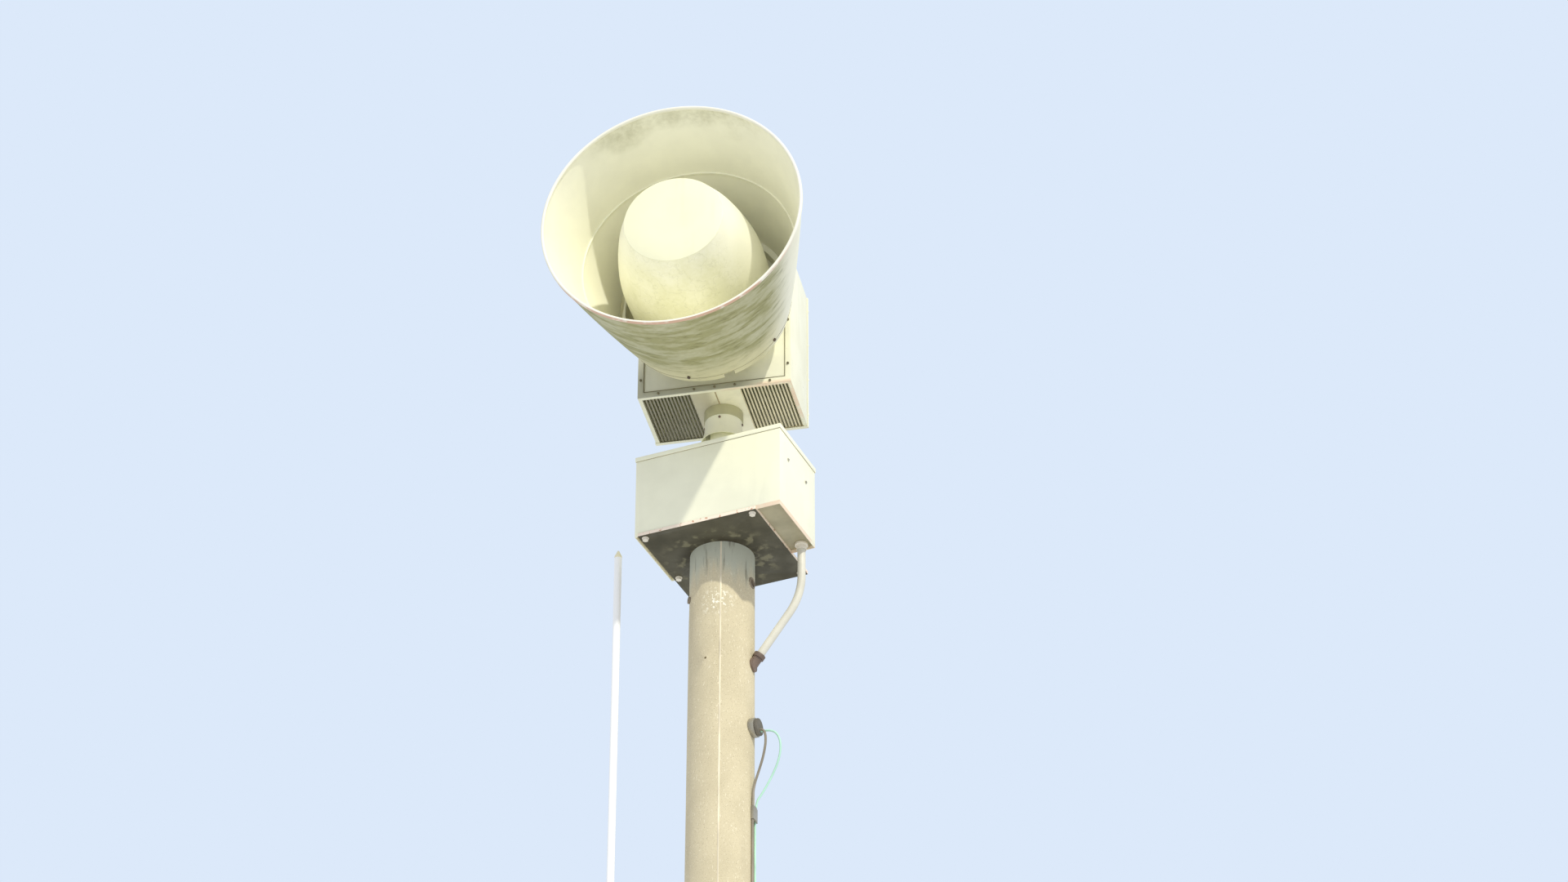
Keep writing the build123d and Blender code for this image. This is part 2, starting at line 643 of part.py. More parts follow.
# Bulges of the wires: share of the turn to the pole line, reach from the axis, drop
GREY_BULGE = [(0.0, 159.0, 716.0), (0.1, 167.0, 757.0), (0.2, 158.0, 818.0), (0.4, 142.0, 872.0), (0.8, 124.0, 926.0)]
GREEN_BULGE = [(0.0, 180.0, 716.0), (0.1, 206.0, 742.0), (0.2, 213.0, 786.0), (0.3, 203.0, 838.0),
               (0.5, 178.0, 890.0), (0.8, 145.0, 944.0)]


def corner_radii(points):
    """Bend at each corner, as large as its two runs allow."""
    radii = []
    for before, here, after in zip(points, points[1:], points[2:]):
        first, second = here - before, after - here
        turn = radians(first.get_angle(second))
        run = min(first.length, second.length)
        radii.append(0.45 * run / (sin(turn / 2) / cos(turn / 2)))
    return radii


def wire(name, points, radius):
    """Round wire along its route."""
    radii = corner_radii(points)
    print(name, "bends", [round(value, 1) for value in radii])
    path = FilletPolyline(*points, radius=radii)
    print(name, "length", round(path.length, 1))
    return sweep(Plane(origin=path @ 0, z_dir=path % 0) * Circle(radius), path)


def saddle(z, height):
    """Block over both wires, before it is cut to the pole and to the wires."""
    middle = (GREY_BEARING + GREEN_BEARING) / 2
    low, high = pole_radius(z), pole_radius(z) + CLIP_THICK
    arc = CLIP_SWEEP
    outline = Polyline(
        polar(middle - arc / 2, low - 3, 0)[:2], polar(middle - arc / 2, high, 0)[:2],
        polar(middle, high + 1, 0)[:2],
        polar(middle + arc / 2, high, 0)[:2], polar(middle + arc / 2, low - 3, 0)[:2], close=True)
    return Pos(0, 0, z - height / 2) * extrude(make_face(outline), height)


def wire_channels(z, height):
    """Room for both wires along the pole, past both ends of a saddle."""
    channels = []
    for bearing, radius in ((GREY_BEARING, GREY_RADIUS), (GREEN_BEARING, GREEN_RADIUS)):
        ends = []
        for level in (z + height, z - height):
            ends.append(polar(bearing, pole_radius(level) + radius + SEAT, level))
        channels.append(rod_between(ends[0], ends[1], radius + SEAT))
    return channels[0] + channels[1]


def clip_block(z, height):
    """Saddle over both wires, cut to the pole and to the wires."""
    return saddle(z, height) - wire_channels(z, height) - pole_body(SEAT)


def cable_clips():
    """Large clip below the gland and smaller ones down the pole."""
    clips = [clip_block(POLE_HEIGHT - CLIP_DROP, CLIP_HEIGHT)]
    for index in range(CLIP_COUNT - 1):
        clips.append(clip_block(CLIP_NEXT - index * CLIP_PITCH, CLIP_LOW_HEIGHT))
    return Compound(clips)


def on_antenna(shape):
    """Turn a shape that is drawn along +X to the antenna's side."""
    return Rot(0, 0, ANTENNA_BEARING) * shape


def antenna_rod():
    """Fibreglass tube."""
    low, high = FERRULE_TOP - FERRULE_SOCKET, ANTENNA_TOP - TIP_LENGTH
    return on_antenna(tube(ANTENNA_RADIUS, ANTENNA_WALL, low, high, ANTENNA_REACH))


def antenna_tip():
    """Pointed cap."""
    base = ANTENNA_TOP - TIP_LENGTH
    cone = revolve(Plane.XZ * make_face(Polyline(
        (0, base), (ANTENNA_RADIUS, base), (ANTENNA_RADIUS, base + TIP_LENGTH / 4),
        (TIP_END_RADIUS, ANTENNA_TOP), (0, ANTENNA_TOP), close=True)), Axis.Z)
    return on_antenna(Pos(ANTENNA_REACH, 0, 0) * cone)


def antenna_ferrule():
    """Metal sleeve at the antenna's foot."""
    sleeve = post(FERRULE_RADIUS, FERRULE_BOTTOM, FERRULE_TOP, ANTENNA_REACH)
    sleeve -= post(ANTENNA_RADIUS + SEAT, FERRULE_TOP - FERRULE_SOCKET, FERRULE_TOP + 1, ANTENNA_REACH)
    return on_antenna(sleeve)


def plate_face():
    """Distance of the arm's end plate from the pole's axis."""
    return ANTENNA_REACH - FERRULE_RADIUS - SEAT


def antenna_arm():
    """Square tube from the pole's band to the antenna, with an end plate."""
    start = pole_radius(ARM_HEIGHT) + POLE_BAND_THICK + 1
    end = plate_face() - ARM_PLATE
    half = ARM_SIZE / 2
    arm = block(start, end, -half, half, ARM_HEIGHT - half, ARM_HEIGHT + half)
    core = half - ARM_WALL
    arm -= block(start - 1, end, -core, core, ARM_HEIGHT - core, ARM_HEIGHT + core)
    arm += block(end, plate_face(), -half, half, ARM_HEIGHT - ARM_PLATE_HEIGHT / 2, ARM_HEIGHT + ARM_PLATE_HEIGHT / 2)
    return on_antenna(arm)


def antenna_clamps():
    """Round straps that hold the antenna to the end plate."""
    clamps = []
    for z in (ARM_HEIGHT - CLAMP_OFFSET, ARM_HEIGHT + CLAMP_OFFSET):
        half = ARM_SIZE / 2
        strap = block(plate_face(), ANTENNA_REACH + FERRULE_RADIUS + CLAMP_ROD * 2, -half - 4, half + 4,
                      z - CLAMP_ROD * 2, z + CLAMP_ROD * 2)
        strap -= post(FERRULE_RADIUS + SEAT, z - ARM_SIZE, z + ARM_SIZE, ANTENNA_REACH)
        strap -= block(plate_face() - 1, ANTENNA_REACH, -FERRULE_RADIUS - SEAT, FERRULE_RADIUS + SEAT,
                       z - ARM_SIZE, z + ARM_SIZE)
        clamps.append(on_antenna(strap))
    return Compound(clamps)


def antenna_band():
    """Split band round the pole, with bolted lugs."""
    low, high = ARM_HEIGHT - BAND_HEIGHT / 2, ARM_HEIGHT + BAND_HEIGHT / 2
    outer = pole_radius(ARM_HEIGHT) + POLE_BAND_THICK
    band = post(outer, low, high)
    lug = outer + LUG_LENGTH
    band += block(-LUG_SPLIT / 2 - LUG_THICK, LUG_SPLIT / 2 + LUG_THICK, -lug, lug, low + 20, high - 20)
    half = ARM_SIZE / 2 + 10
    band += block(0, pole_radius(ARM_HEIGHT) + POLE_BAND_THICK + 1, -half, half, low + 10, high - 10)
    band -= block(-LUG_SPLIT / 2, LUG_SPLIT / 2, -lug - 1, lug + 1, low - 1, high + 1)
    band = on_antenna(band) + saddle(ARM_HEIGHT, BAND_HEIGHT)
    return band - wire_channels(ARM_HEIGHT, BAND_HEIGHT) - pole_body(SEAT)


def pieces():
    """Every node of the part by name."""
    grey = wire_route(-1, GREY_RADIUS, GREY_BEARING, GREY_BULGE)
    green = wire_route(1, GREEN_RADIUS, GREEN_BEARING, GREEN_BULGE)
    return {
        "pole_shaft": pole_shaft(),
        "pole_sleeves": pole_sleeves(),
        "base_plate": base_plate(),
        "plate_bolts": plate_bolts(),
        "base_box_floor": base_box_floor(),
        "base_box_shell": base_box_shell(),
        "base_box_lid": base_box_lid(),
        "neck_stub": neck_stub(),
        "stub_flange": stub_flange(),
        "conduit_connector": conduit_connector(),
        "conduit": conduit(),
        "pole_conduit_entry": pole_conduit_entry(),
        "gland_body": gland_body(),
        "gland_nut": gland_nut(),
        "grey_cable": wire("grey_cable", grey, GREY_RADIUS),
        "green_earth_wire": wire("green_earth_wire", green, GREEN_RADIUS),
        "cable_clips": cable_clips(),
        "antenna_rod": antenna_rod(),
        "antenna_tip": antenna_tip(),
        "antenna_ferrule": antenna_ferrule(),
        "antenna_arm": antenna_arm(),
        "antenna_clamps": antenna_clamps(),
        "antenna_band": antenna_band(),
        "neck_collar": neck_collar(),
        "collar_screws": collar_screws(),
        "rain_skirt": rain_skirt(),
        "housing_shell": housing_shell(),
        "housing_front_panel": housing_front_panel(),
        "housing_rear_cover": housing_rear_cover(),
        "floor_strip": floor_strip(),
        "grille_left": grille(-1),
        "grille_right": grille(1),
        "throat_ring": throat_ring(),
        "bell_back_plate": bell_back_plate(),
        "bell_rear_band": bell_rear_band(),
        "rim_bolts": rim_bolts(),
        "bell_rear": bell_rear(),
        "bell_front": bell_front(),
        "mouth_bead": mouth_bead(),
        "dome_stem": dome_stem(),
        "dome_back": dome_back(),
        "dome_shell": dome_shell(),
        "dome_face": dome_face(),
    }


os.makedirs("parts", exist_ok=True)
for node, shape in pieces().items():
    export_step(shape, f"parts/{node}.step")
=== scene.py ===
"""Looks of a siren on a concrete pole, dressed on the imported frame."""
from __future__ import annotations

import json
import logging
import math
from collections.abc import Iterator
from contextlib import contextmanager
from dataclasses import dataclass, field
from enum import Enum

import bpy
from mathutils import Matrix, Vector

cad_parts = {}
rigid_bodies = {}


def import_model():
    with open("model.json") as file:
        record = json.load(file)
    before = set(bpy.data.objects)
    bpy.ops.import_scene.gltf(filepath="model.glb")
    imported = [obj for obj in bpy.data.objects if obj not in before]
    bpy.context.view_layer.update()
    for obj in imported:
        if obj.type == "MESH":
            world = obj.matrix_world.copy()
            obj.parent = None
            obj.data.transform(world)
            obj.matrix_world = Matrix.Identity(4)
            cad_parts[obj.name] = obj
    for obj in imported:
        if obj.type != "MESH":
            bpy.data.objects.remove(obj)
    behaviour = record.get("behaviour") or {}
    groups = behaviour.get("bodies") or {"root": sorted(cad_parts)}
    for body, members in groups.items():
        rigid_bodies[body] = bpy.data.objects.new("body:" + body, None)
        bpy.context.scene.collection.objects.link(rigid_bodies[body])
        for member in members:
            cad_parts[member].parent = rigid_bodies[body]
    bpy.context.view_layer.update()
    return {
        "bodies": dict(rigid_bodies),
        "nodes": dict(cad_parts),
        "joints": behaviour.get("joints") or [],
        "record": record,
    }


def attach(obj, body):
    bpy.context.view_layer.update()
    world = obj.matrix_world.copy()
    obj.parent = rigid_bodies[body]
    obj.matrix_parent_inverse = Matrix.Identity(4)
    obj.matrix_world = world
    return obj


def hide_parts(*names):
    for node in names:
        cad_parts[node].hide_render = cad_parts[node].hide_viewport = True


LOG = logging.getLogger("siren")

POLE_TOP = 10.36
HORN_AXIS_Z = 11.2272
MOUTH_Y = -0.85
BASE_TURN = math.radians(-11.6)
HOUSING_FRONT = -0.1592
HOUSING_LOW = 0.6023
HOUSING_HALF = 0.275
MERGE = 0.00001
RING_MERGE = 0.00002
Colour = tuple[float, float, float]
Place = tuple[float, float, float]
Station = tuple[float, float]
Object = bpy.types.Object
Socket = bpy.types.NodeSocket


def linear(red: float, green: float, blue: float) -> tuple[float, float, float, float]:
    """Turn a screen colour, 0 to 255, into a linear one.

    Args:
        red, green, blue: the channels as seen on a screen.

    Returns:
        The linear colour with full alpha.
    """
    def channel(value: float) -> float:
        """One channel made linear."""
        share = value / 255
        return share / 12.92 if share <= 0.04045 else ((share + 0.055) / 1.055) ** 2.4
    return channel(red), channel(green), channel(blue), 1.0


def darker(colour: Colour, share: float) -> Colour:
    """Colour with each channel at a share of its value."""
    return tuple(part * share for part in colour)


def linked(name: str, data: bpy.types.ID) -> Object:
    """Put a new object with some data in the scene.

    Args:
        name: its name.
        data: its mesh, curve, light or camera.

    Returns:
        The object.
    """
    obj = bpy.data.objects.new(name, data)
    bpy.context.scene.collection.objects.link(obj)
    return obj


def only(obj: Object) -> None:
    """Select one object alone and make it active.

    Args:
        obj: the object.
    """
    bpy.ops.object.select_all(action="DESELECT")
    obj.select_set(True)
    bpy.context.view_layer.objects.active = obj


@contextmanager
def editing(select: str | None = "SELECT") -> Iterator[None]:
    """Work on the active object in edit mode.

    Args:
        select: SELECT or DESELECT, for all of its mesh, or None to keep what is selected.

    Returns:
        The context to work in, which goes back to object mode at its end.
    """
    bpy.ops.object.mode_set(mode="EDIT")
    if select:
        bpy.ops.mesh.select_all(action=select)
    yield
    bpy.ops.object.mode_set(mode="OBJECT")


def settle(obj: Object, name: str, smooth: float = 35.0) -> Object:
    """Name a finished piece, move its place into its mesh and smooth it.

    Args:
        obj: the piece.
        name: its name in the scene.
        smooth: the largest angle, in degrees, that is shaded smooth.

    Returns:
        The same object.
    """
    only(obj)
    obj.name = name
    bpy.ops.object.transform_apply(location=True, rotation=True, scale=True)
    bpy.ops.object.shade_smooth_by_angle(angle=math.radians(smooth))
    return obj


def smooth_line(points: list[Station], steps: int) -> list[Station]:
    """Smooth line through radius and distance pairs.

    Args:
        points: the pairs that it passes through.
        steps: how many pieces each stretch gets.

    Returns:
        The pairs along the line.
    """
    ends = [points[0], *points, points[-1]]
    line = []
    for before, first, second, after in zip(ends, ends[1:], ends[2:], ends[3:]):
        for step in range(steps):
            t = step / steps
            line.append(tuple(
                0.5 * (2 * b + (c - a) * t + (2 * a - 5 * b + 4 * c - d) * t ** 2
                       + (3 * b - a - 3 * c + d) * t ** 3)
                for a, b, c, d in zip(before, first, second, after)))
    return line + [tuple(points[-1])]


class Axis(Enum):
    """Directions that a turned piece is built along."""

    BACK = (0.0, 1.0, 0.0)
    UP = (0.0, 0.0, 1.0)


@dataclass(frozen=True)
class Turned:
    """A round piece, extruded ring by ring along an axis.

    Its stations are radius and distance along the axis from its origin.
    """

    name: str
    stations: list[Station]
    origin: Place
    axis: Axis
    segments: int = 180
    closed: bool = True
    capped: bool = False

    def build(self) -> Object:
        """Build the piece.

        Returns:
            The smoothed object at the origin.
        """
        along = Vector(self.axis.value)
        start = Vector(self.origin) + along * self.stations[0][1]
        turn = (math.radians(90), 0, 0) if self.axis is Axis.BACK else (0, 0, 0)
        bpy.ops.object.select_all(action="DESELECT")
        bpy.ops.mesh.primitive_circle_add(
            vertices=self.segments, radius=self.stations[0][0], location=start, rotation=turn,
            fill_type="NGON" if self.capped else "NOTHING")
        obj = bpy.context.object
        bpy.ops.object.transform_apply(location=True, rotation=True, scale=True)
        with editing():
            for before, here in zip(self.stations, self.stations[1:]):
                centre = Vector(self.origin) + along * here[1]
                bpy.ops.mesh.extrude_edges_move(
                    TRANSFORM_OT_translate={"value": tuple(along * (here[1] - before[1]))})
                size = [here[0] / before[0] if part == 0 else 1.0 for part in along]
                bpy.ops.transform.resize(value=size, center_override=tuple(centre))
            if self.capped:
                bpy.ops.mesh.edge_face_add()
            bpy.ops.mesh.select_all(action="SELECT")
            if self.closed:
                bpy.ops.mesh.remove_doubles(threshold=RING_MERGE)
            bpy.ops.mesh.normals_make_consistent(inside=False)
        return settle(obj, self.name)


@dataclass(frozen=True)
class Wire:
    """A round wire or tube along a smooth or straight line."""

    name: str
    points: list[Place]
    radius: float
    straight: bool = False

    def build(self) -> Object:
        """Build the wire.

        Returns:
            A mesh object with closed ends.
        """
        curve = bpy.data.curves.new(self.name, "CURVE")
        curve.dimensions = "3D"
        curve.bevel_depth = self.radius
        curve.bevel_resolution = 6
        curve.use_fill_caps = True
        curve.resolution_u = 12
        spline = curve.splines.new("POLY" if self.straight else "NURBS")
        spline.points.add(len(self.points) - 1)
        for point, place in zip(spline.points, self.points):
            point.co = (*place, 1.0)
        if not self.straight:
            spline.order_u = 3
            spline.use_endpoint_u = True
        only(linked(self.name, curve))
        bpy.ops.object.convert(target="MESH")
        with editing():
            bpy.ops.mesh.remove_doubles(threshold=MERGE)
            bpy.ops.mesh.normals_make_consistent(inside=False)
        return settle(bpy.context.object, self.name, 50.0)


@dataclass(frozen=True)
class ScrewRow:
    """Like screws, modelled once and copied to their places."""

    name: str
    radius: float
    height: float
    places: list[tuple[Vector, Vector]]

    def head(self) -> Object:
        """Model one domed head with a driven recess, its foot at the origin.

        Returns:
            The head.
        """
        bpy.ops.object.select_all(action="DESELECT")
        bpy.ops.mesh.primitive_cylinder_add(
            vertices=20, radius=self.radius, depth=self.height, location=(0, 0, self.height / 2))
        obj = bpy.context.object
        bpy.ops.object.transform_apply(location=True, rotation=True, scale=True)
        bpy.ops.object.mode_set(mode="EDIT")
        bpy.ops.mesh.select_all(action="DESELECT")
        bpy.ops.object.mode_set(mode="OBJECT")
        for face in obj.data.polygons:
            face.select = face.normal.z > 0.9
        with editing(None):
            for inset, rise in ((0.25, 0.3), (0.3, 0.0), (0.02, -0.5)):
                bpy.ops.mesh.inset(thickness=self.radius * inset, depth=self.height * rise)
        return obj

    def build(self) -> Object:
        """Copy the head to each place and join the copies.

        Returns:
            One object with every screw.
        """
        first = self.head()
        copies = []
        for place, outward in self.places:
            copy = linked(self.name, first.data.copy())
            turn = outward.to_track_quat("Z", "Y").to_matrix().to_4x4()
            copy.matrix_world = Matrix.Translation(place) @ turn
            copies.append(copy)
        bpy.data.objects.remove(first)
        only(copies[0])
        for copy in copies:
            copy.select_set(True)
        bpy.ops.object.join()
        return settle(bpy.context.object, self.name)


class Graph:
    """Short calls for adding and linking shader nodes."""

    def __init__(self, tree: bpy.types.NodeTree) -> None:
        """Keep the tree to add to."""
        self.tree = tree

    def add(self, kind: str, inputs: dict | None = None, **settings: object) -> bpy.types.Node:
        """Add a node.

        Args:
            kind: the node's type.
            inputs: socket name or number to a value, or to a socket to link from.
            settings: attributes of the node.

        Returns:
            The node.
        """
        node = self.tree.nodes.new(kind)
        for name, value in settings.items():
            setattr(node, name, value)
        for name, value in (inputs or {}).items():
            if isinstance(value, Socket):
                self.tree.links.new(value, node.inputs[name])
            else:
                node.inputs[name].default_value = value
        return node

    def effect(self, tree: bpy.types.NodeTree, place: Socket, **values: float) -> bpy.types.NodeOutputs:
        """Outputs of a shared effect at a place, with its own values."""
        return self.add("ShaderNodeGroup", {"Vector": place, **values}, node_tree=tree).outputs

    def noise(self, vector: Socket, scale: Socket | float, detail: float = 6.0) -> Socket:
        """Noise value on a vector."""
        node = self.add("ShaderNodeTexNoise", {"Vector": vector, "Scale": scale, "Detail": detail})
        return node.outputs["Fac"]

    def steps(self, value: Socket, low: float, high: float, top: Socket | float = 1.0) -> Socket:
        """Smooth step of a value between two levels."""
        levels = {"Value": value, "From Min": low, "From Max": high, "To Max": top}
        return self.add("ShaderNodeMapRange", levels, interpolation_type="SMOOTHSTEP").outputs["Result"]

    def work(self, operation: str, first: Socket | float, second: Socket | float = 0.0,
             clamped: bool = False) -> Socket:
        """Result of a maths operation on one or two values, held between 0 and 1 where it is clamped."""
        settings = {"operation": operation, "use_clamp": clamped}
        return self.add("ShaderNodeMath", {0: first, 1: second}, **settings).outputs[0]

    def times(self, *values: Socket | float) -> Socket:
        """Product of several values.

        Args:
            values: the factors.

        Returns:
            Their product.
        """
        product = values[0]
        for value in values[1:]:
            product = self.work("MULTIPLY", product, value)
        return product

    def plus(self, first: Socket | float, second: Socket | float, clamped: bool = False) -> Socket:
        """Sum of two values."""
        return self.work("ADD", first, second, clamped)

    def vector(self, operation: str, first: Socket, second: Socket | Place = (0.0, 0.0, 0.0)) -> Socket:
        """Vector result of an operation on one or two vectors."""
        return self.add("ShaderNodeVectorMath", {0: first, 1: second}, operation=operation).outputs[0]

    def measure(self, operation: str, first: Socket, second: Socket | Place = (0.0, 0.0, 0.0)) -> Socket:
        """Number that a vector operation gives, such as a length."""
        return self.add("ShaderNodeVectorMath", {0: first, 1: second}, operation=operation).outputs["Value"]

    def part(self, vector: Socket, axis: str) -> Socket:
        """One coordinate of a vector."""
        return self.add("ShaderNodeSeparateXYZ", {0: vector}).outputs[axis]

    def parts(self, vector: Socket) -> list[Socket]:
        """The three coordinates of a vector."""
        return [self.part(vector, axis) for axis in "XYZ"]

    def from_pole(self, place: Socket) -> Socket:
        """Distance of a place from the pole's axis."""
        return self.measure("LENGTH", self.vector("MULTIPLY", place, (1.0, 1.0, 0.0)))

    def mixed(self, share: Socket, first: Socket | Colour, second: Socket | Colour) -> Socket:
        """Colour between two colours, given as sockets or as seen on a screen."""
        first, second = (value if isinstance(value, Socket) else linear(*value) for value in (first, second))
        return self.add("ShaderNodeMix", {0: share, 6: first, 7: second}, data_type="RGBA").outputs[2]


class Effects:
    """Shader groups that several finishes share, each built once."""

    def __init__(self) -> None:
        """Build every group."""
        self.grain = self.make_grain()
        self.algae = self.make_algae()
        self.streaks = self.make_streaks()
        self.rust = self.make_rust()

    def group(self, name: str, values: dict[str, float], outputs: list[str]
              ) -> tuple[Graph, bpy.types.NodeOutputs, bpy.types.NodeInputs]:
        """Start a group with a vector, named values and outputs.

        Args:
            name: the group's name.
            values: input names with their usual values.
            outputs: output names.

        Returns:
            The graph, what is given to the group and what it puts out.
        """
        tree = bpy.data.node_groups.new(name, "ShaderNodeTree")
        tree.interface.new_socket("Vector", in_out="INPUT", socket_type="NodeSocketVector")
        for key, value in values.items():
            socket = tree.interface.new_socket(key, in_out="INPUT", socket_type="NodeSocketFloat")
            socket.default_value = value
        for key in outputs:
            tree.interface.new_socket(key, in_out="OUTPUT", socket_type="NodeSocketFloat")
        graph = Graph(tree)
        return graph, graph.add("NodeGroupInput").outputs, graph.add("NodeGroupOutput").inputs

    def make_grain(self) -> bpy.types.NodeTree:
        """Fine surface height and a slow change of tone.

        Returns:
            The group.
        """
        graph, given, out = self.group("surface_grain", {"Scale": 200.0}, ["Height", "Tone"])
        place, scale = given["Vector"], given["Scale"]
        both = graph.plus(graph.noise(place, scale, 8.0), graph.noise(place, graph.times(scale, 0.12), 4.0))
        graph.tree.links.new(graph.times(both, 0.5), out["Height"])
        slow = graph.noise(place, graph.times(scale, 0.03), 5.0)
        graph.tree.links.new(graph.steps(slow, 0.35, 0.65), out["Tone"])
        return graph.tree

    def make_algae(self) -> bpy.types.NodeTree:
        """Growth on faces that look down, broken up by noise and crossed by thin veins.

        Returns:
            The group.
        """
        graph, given, out = self.group("underside_algae", {"Amount": 0.6, "Scale": 9.0}, ["Mask", "Veins"])
        place, scale, amount = given["Vector"], given["Scale"], given["Amount"]
        down = graph.times(graph.part(graph.add("ShaderNodeNewGeometry").outputs["Normal"], "Z"), -1.0)
        reach = graph.steps(down, 0.12, 0.85)
        broad = graph.steps(graph.noise(place, scale, 7.0), 0.30, 0.66)
        fine = graph.steps(graph.noise(place, graph.times(scale, 9.0), 6.0), 0.25, 0.75)
        patch = graph.plus(graph.times(broad, 0.7), graph.times(fine, 0.45))
        graph.tree.links.new(graph.times(patch, reach, amount), out["Mask"])
        ridge = graph.work("SUBTRACT", graph.noise(place, graph.times(scale, 2.5), 9.0), 0.5)
        thin = graph.steps(graph.work("ABSOLUTE", ridge), 0.022, 0.0)
        graph.tree.links.new(graph.times(thin, reach, amount, 0.4), out["Veins"])
        return graph.tree

    def make_streaks(self) -> bpy.types.NodeTree:
        """Upright runs of dirt.

        Returns:
            The group.
        """
        graph, given, out = self.group("rain_streaks", {"Amount": 0.4, "Width": 30.0}, ["Mask"])
        drawn = graph.vector("MULTIPLY", given["Vector"], (1.0, 1.0, 0.06))
        runs = graph.steps(graph.noise(drawn, given["Width"], 5.0), 0.46, 0.72)
        broken = graph.steps(graph.noise(given["Vector"], 3.5, 4.0), 0.35, 0.65)
        graph.tree.links.new(graph.times(runs, broken, given["Amount"]), out["Mask"])
        return graph.tree

    def make_rust(self) -> bpy.types.NodeTree:
        """Few small specks.

        Returns:
            The group.
        """
        graph, given, out = self.group("rust_specks", {"Amount": 0.5, "Scale": 60.0}, ["Mask"])
        specks = graph.steps(graph.noise(given["Vector"], given["Scale"], 3.0), 0.70, 0.78)
        area = graph.steps(graph.noise(given["Vector"], graph.times(given["Scale"], 0.08), 2.0), 0.48, 0.62)
        graph.tree.links.new(graph.times(specks, area, given["Amount"]), out["Mask"])
        return graph.tree


@dataclass(frozen=True)
class Coat:
    """The shared weathering, as a special finish goes on from it."""

    graph: Graph
    effects: Effects
    place: Socket
    colour: Socket


@dataclass(frozen=True)
class Finish:
    """A weathered surface, from new paint to zinc and rubber."""

    name: str
    base: Colour
    roughness: float = 0.5
    metallic: float = 0.0
    mottle: float = 0.10
    grain: float = 260.0
    depth: float = 0.0003
    algae: float = 0.0
    algae_colour: Colour = (134, 134, 84)
    streak: float = 0.15
    rust: float = 0.0
    rust_colour: Colour = (120, 72, 44)
    gloss: float = 0.5

    def marked(self, coat: Coat) -> Socket:
        """Colour with the finish's own marks, of which a plain finish has none."""
        return coat.colour

    def build(self, effects: Effects) -> bpy.types.Material:
        """Lay the base colour, tone, streaks, algae and rust, then the finish's own marks.

        Args:
            effects: the shared groups.

        Returns:
            The material.
        """
        material = bpy.data.materials.new(self.name)
        material.use_nodes = True
        material.node_tree.nodes.clear()
        graph = Graph(material.node_tree)
        place = graph.add("ShaderNodeTexCoord").outputs["Object"]
        grain = graph.effect(effects.grain, place, Scale=self.grain)
        streaks = graph.effect(effects.streaks, place, Amount=self.streak)
        algae = graph.effect(effects.algae, place, Amount=self.algae)
        rust = graph.effect(effects.rust, place, Amount=self.rust)
        colour = graph.mixed(grain["Tone"], self.base, darker(self.base, 1 - self.mottle * 1.6))
        colour = graph.mixed(streaks["Mask"], colour, darker(self.base, 0.62))
        colour = graph.mixed(algae["Mask"], colour, self.algae_colour)
        colour = graph.mixed(algae["Veins"], colour, darker(self.algae_colour, 0.72))
        colour = graph.mixed(rust["Mask"], colour, self.rust_colour)
        rough = graph.add("ShaderNodeMapRange", {"Value": grain["Tone"], "To Min": self.roughness - 0.06,
                                                 "To Max": min(1.0, self.roughness + 0.12)}).outputs[0]
        bump = graph.add("ShaderNodeBump", {"Height": grain["Height"], "Distance": self.depth,
                                            "Strength": 0.6})
        shader = graph.add("ShaderNodeBsdfPrincipled", {
            "Base Color": self.marked(Coat(graph, effects, place, colour)), "Roughness": rough,
            "Metallic": self.metallic, "Normal": bump.outputs["Normal"], "Specular IOR Level": self.gloss})
        graph.add("ShaderNodeOutputMaterial", {"Surface": shader.outputs["BSDF"]})
        return material


@dataclass(frozen=True)
class ConcreteFinish(Finish):
    """Spun concrete with pores, pale flecks, a damp top and one pale splash."""

    splash: Place = (0.0, 0.0, 0.0)
    pore: Colour = (172, 160, 128)
    fleck: Colour = (246, 238, 210)
    damp: Colour = (186, 192, 174)
    drip: Colour = (112, 104, 84)
    spilt: Colour = (255, 252, 232)

    def marked(self, coat: Coat) -> Socket:
        """Colour with the concrete's marks.

        Args:
            coat: the weathering under them.

        Returns:
            The colour.
        """
        graph, place = coat.graph, coat.place
        pores = graph.steps(graph.noise(place, 420.0, 2.0), 0.30, 0.42)
        colour = graph.mixed(pores, self.pore, coat.colour)
        flecks = graph.noise(graph.vector("MULTIPLY", place, (1.0, 1.0, 0.4)), 210.0, 3.0)
        colour = graph.mixed(graph.steps(flecks, 0.60, 0.72, 0.6), colour, self.fleck)
        drawn = graph.vector("MULTIPLY", place, (1.0, 1.0, 0.12))
        reach = graph.plus(graph.times(graph.noise(drawn, 24.0, 5.0), 0.16), graph.part(place, "Z"))
        damp = graph.steps(reach, POLE_TOP - 0.09, POLE_TOP + 0.03, 0.8)
        colour = graph.mixed(damp, colour, self.damp)
        drips = graph.times(graph.steps(graph.noise(drawn, 60.0, 5.0), 0.55, 0.72), damp)
        colour = graph.mixed(drips, colour, self.drip)
        near = graph.steps(graph.measure("DISTANCE", place, self.splash), 0.075, 0.015)
        drops = graph.steps(graph.noise(place, 90.0, 5.0), 0.54, 0.62)
        return graph.mixed(graph.times(near, drops), colour, self.spilt)


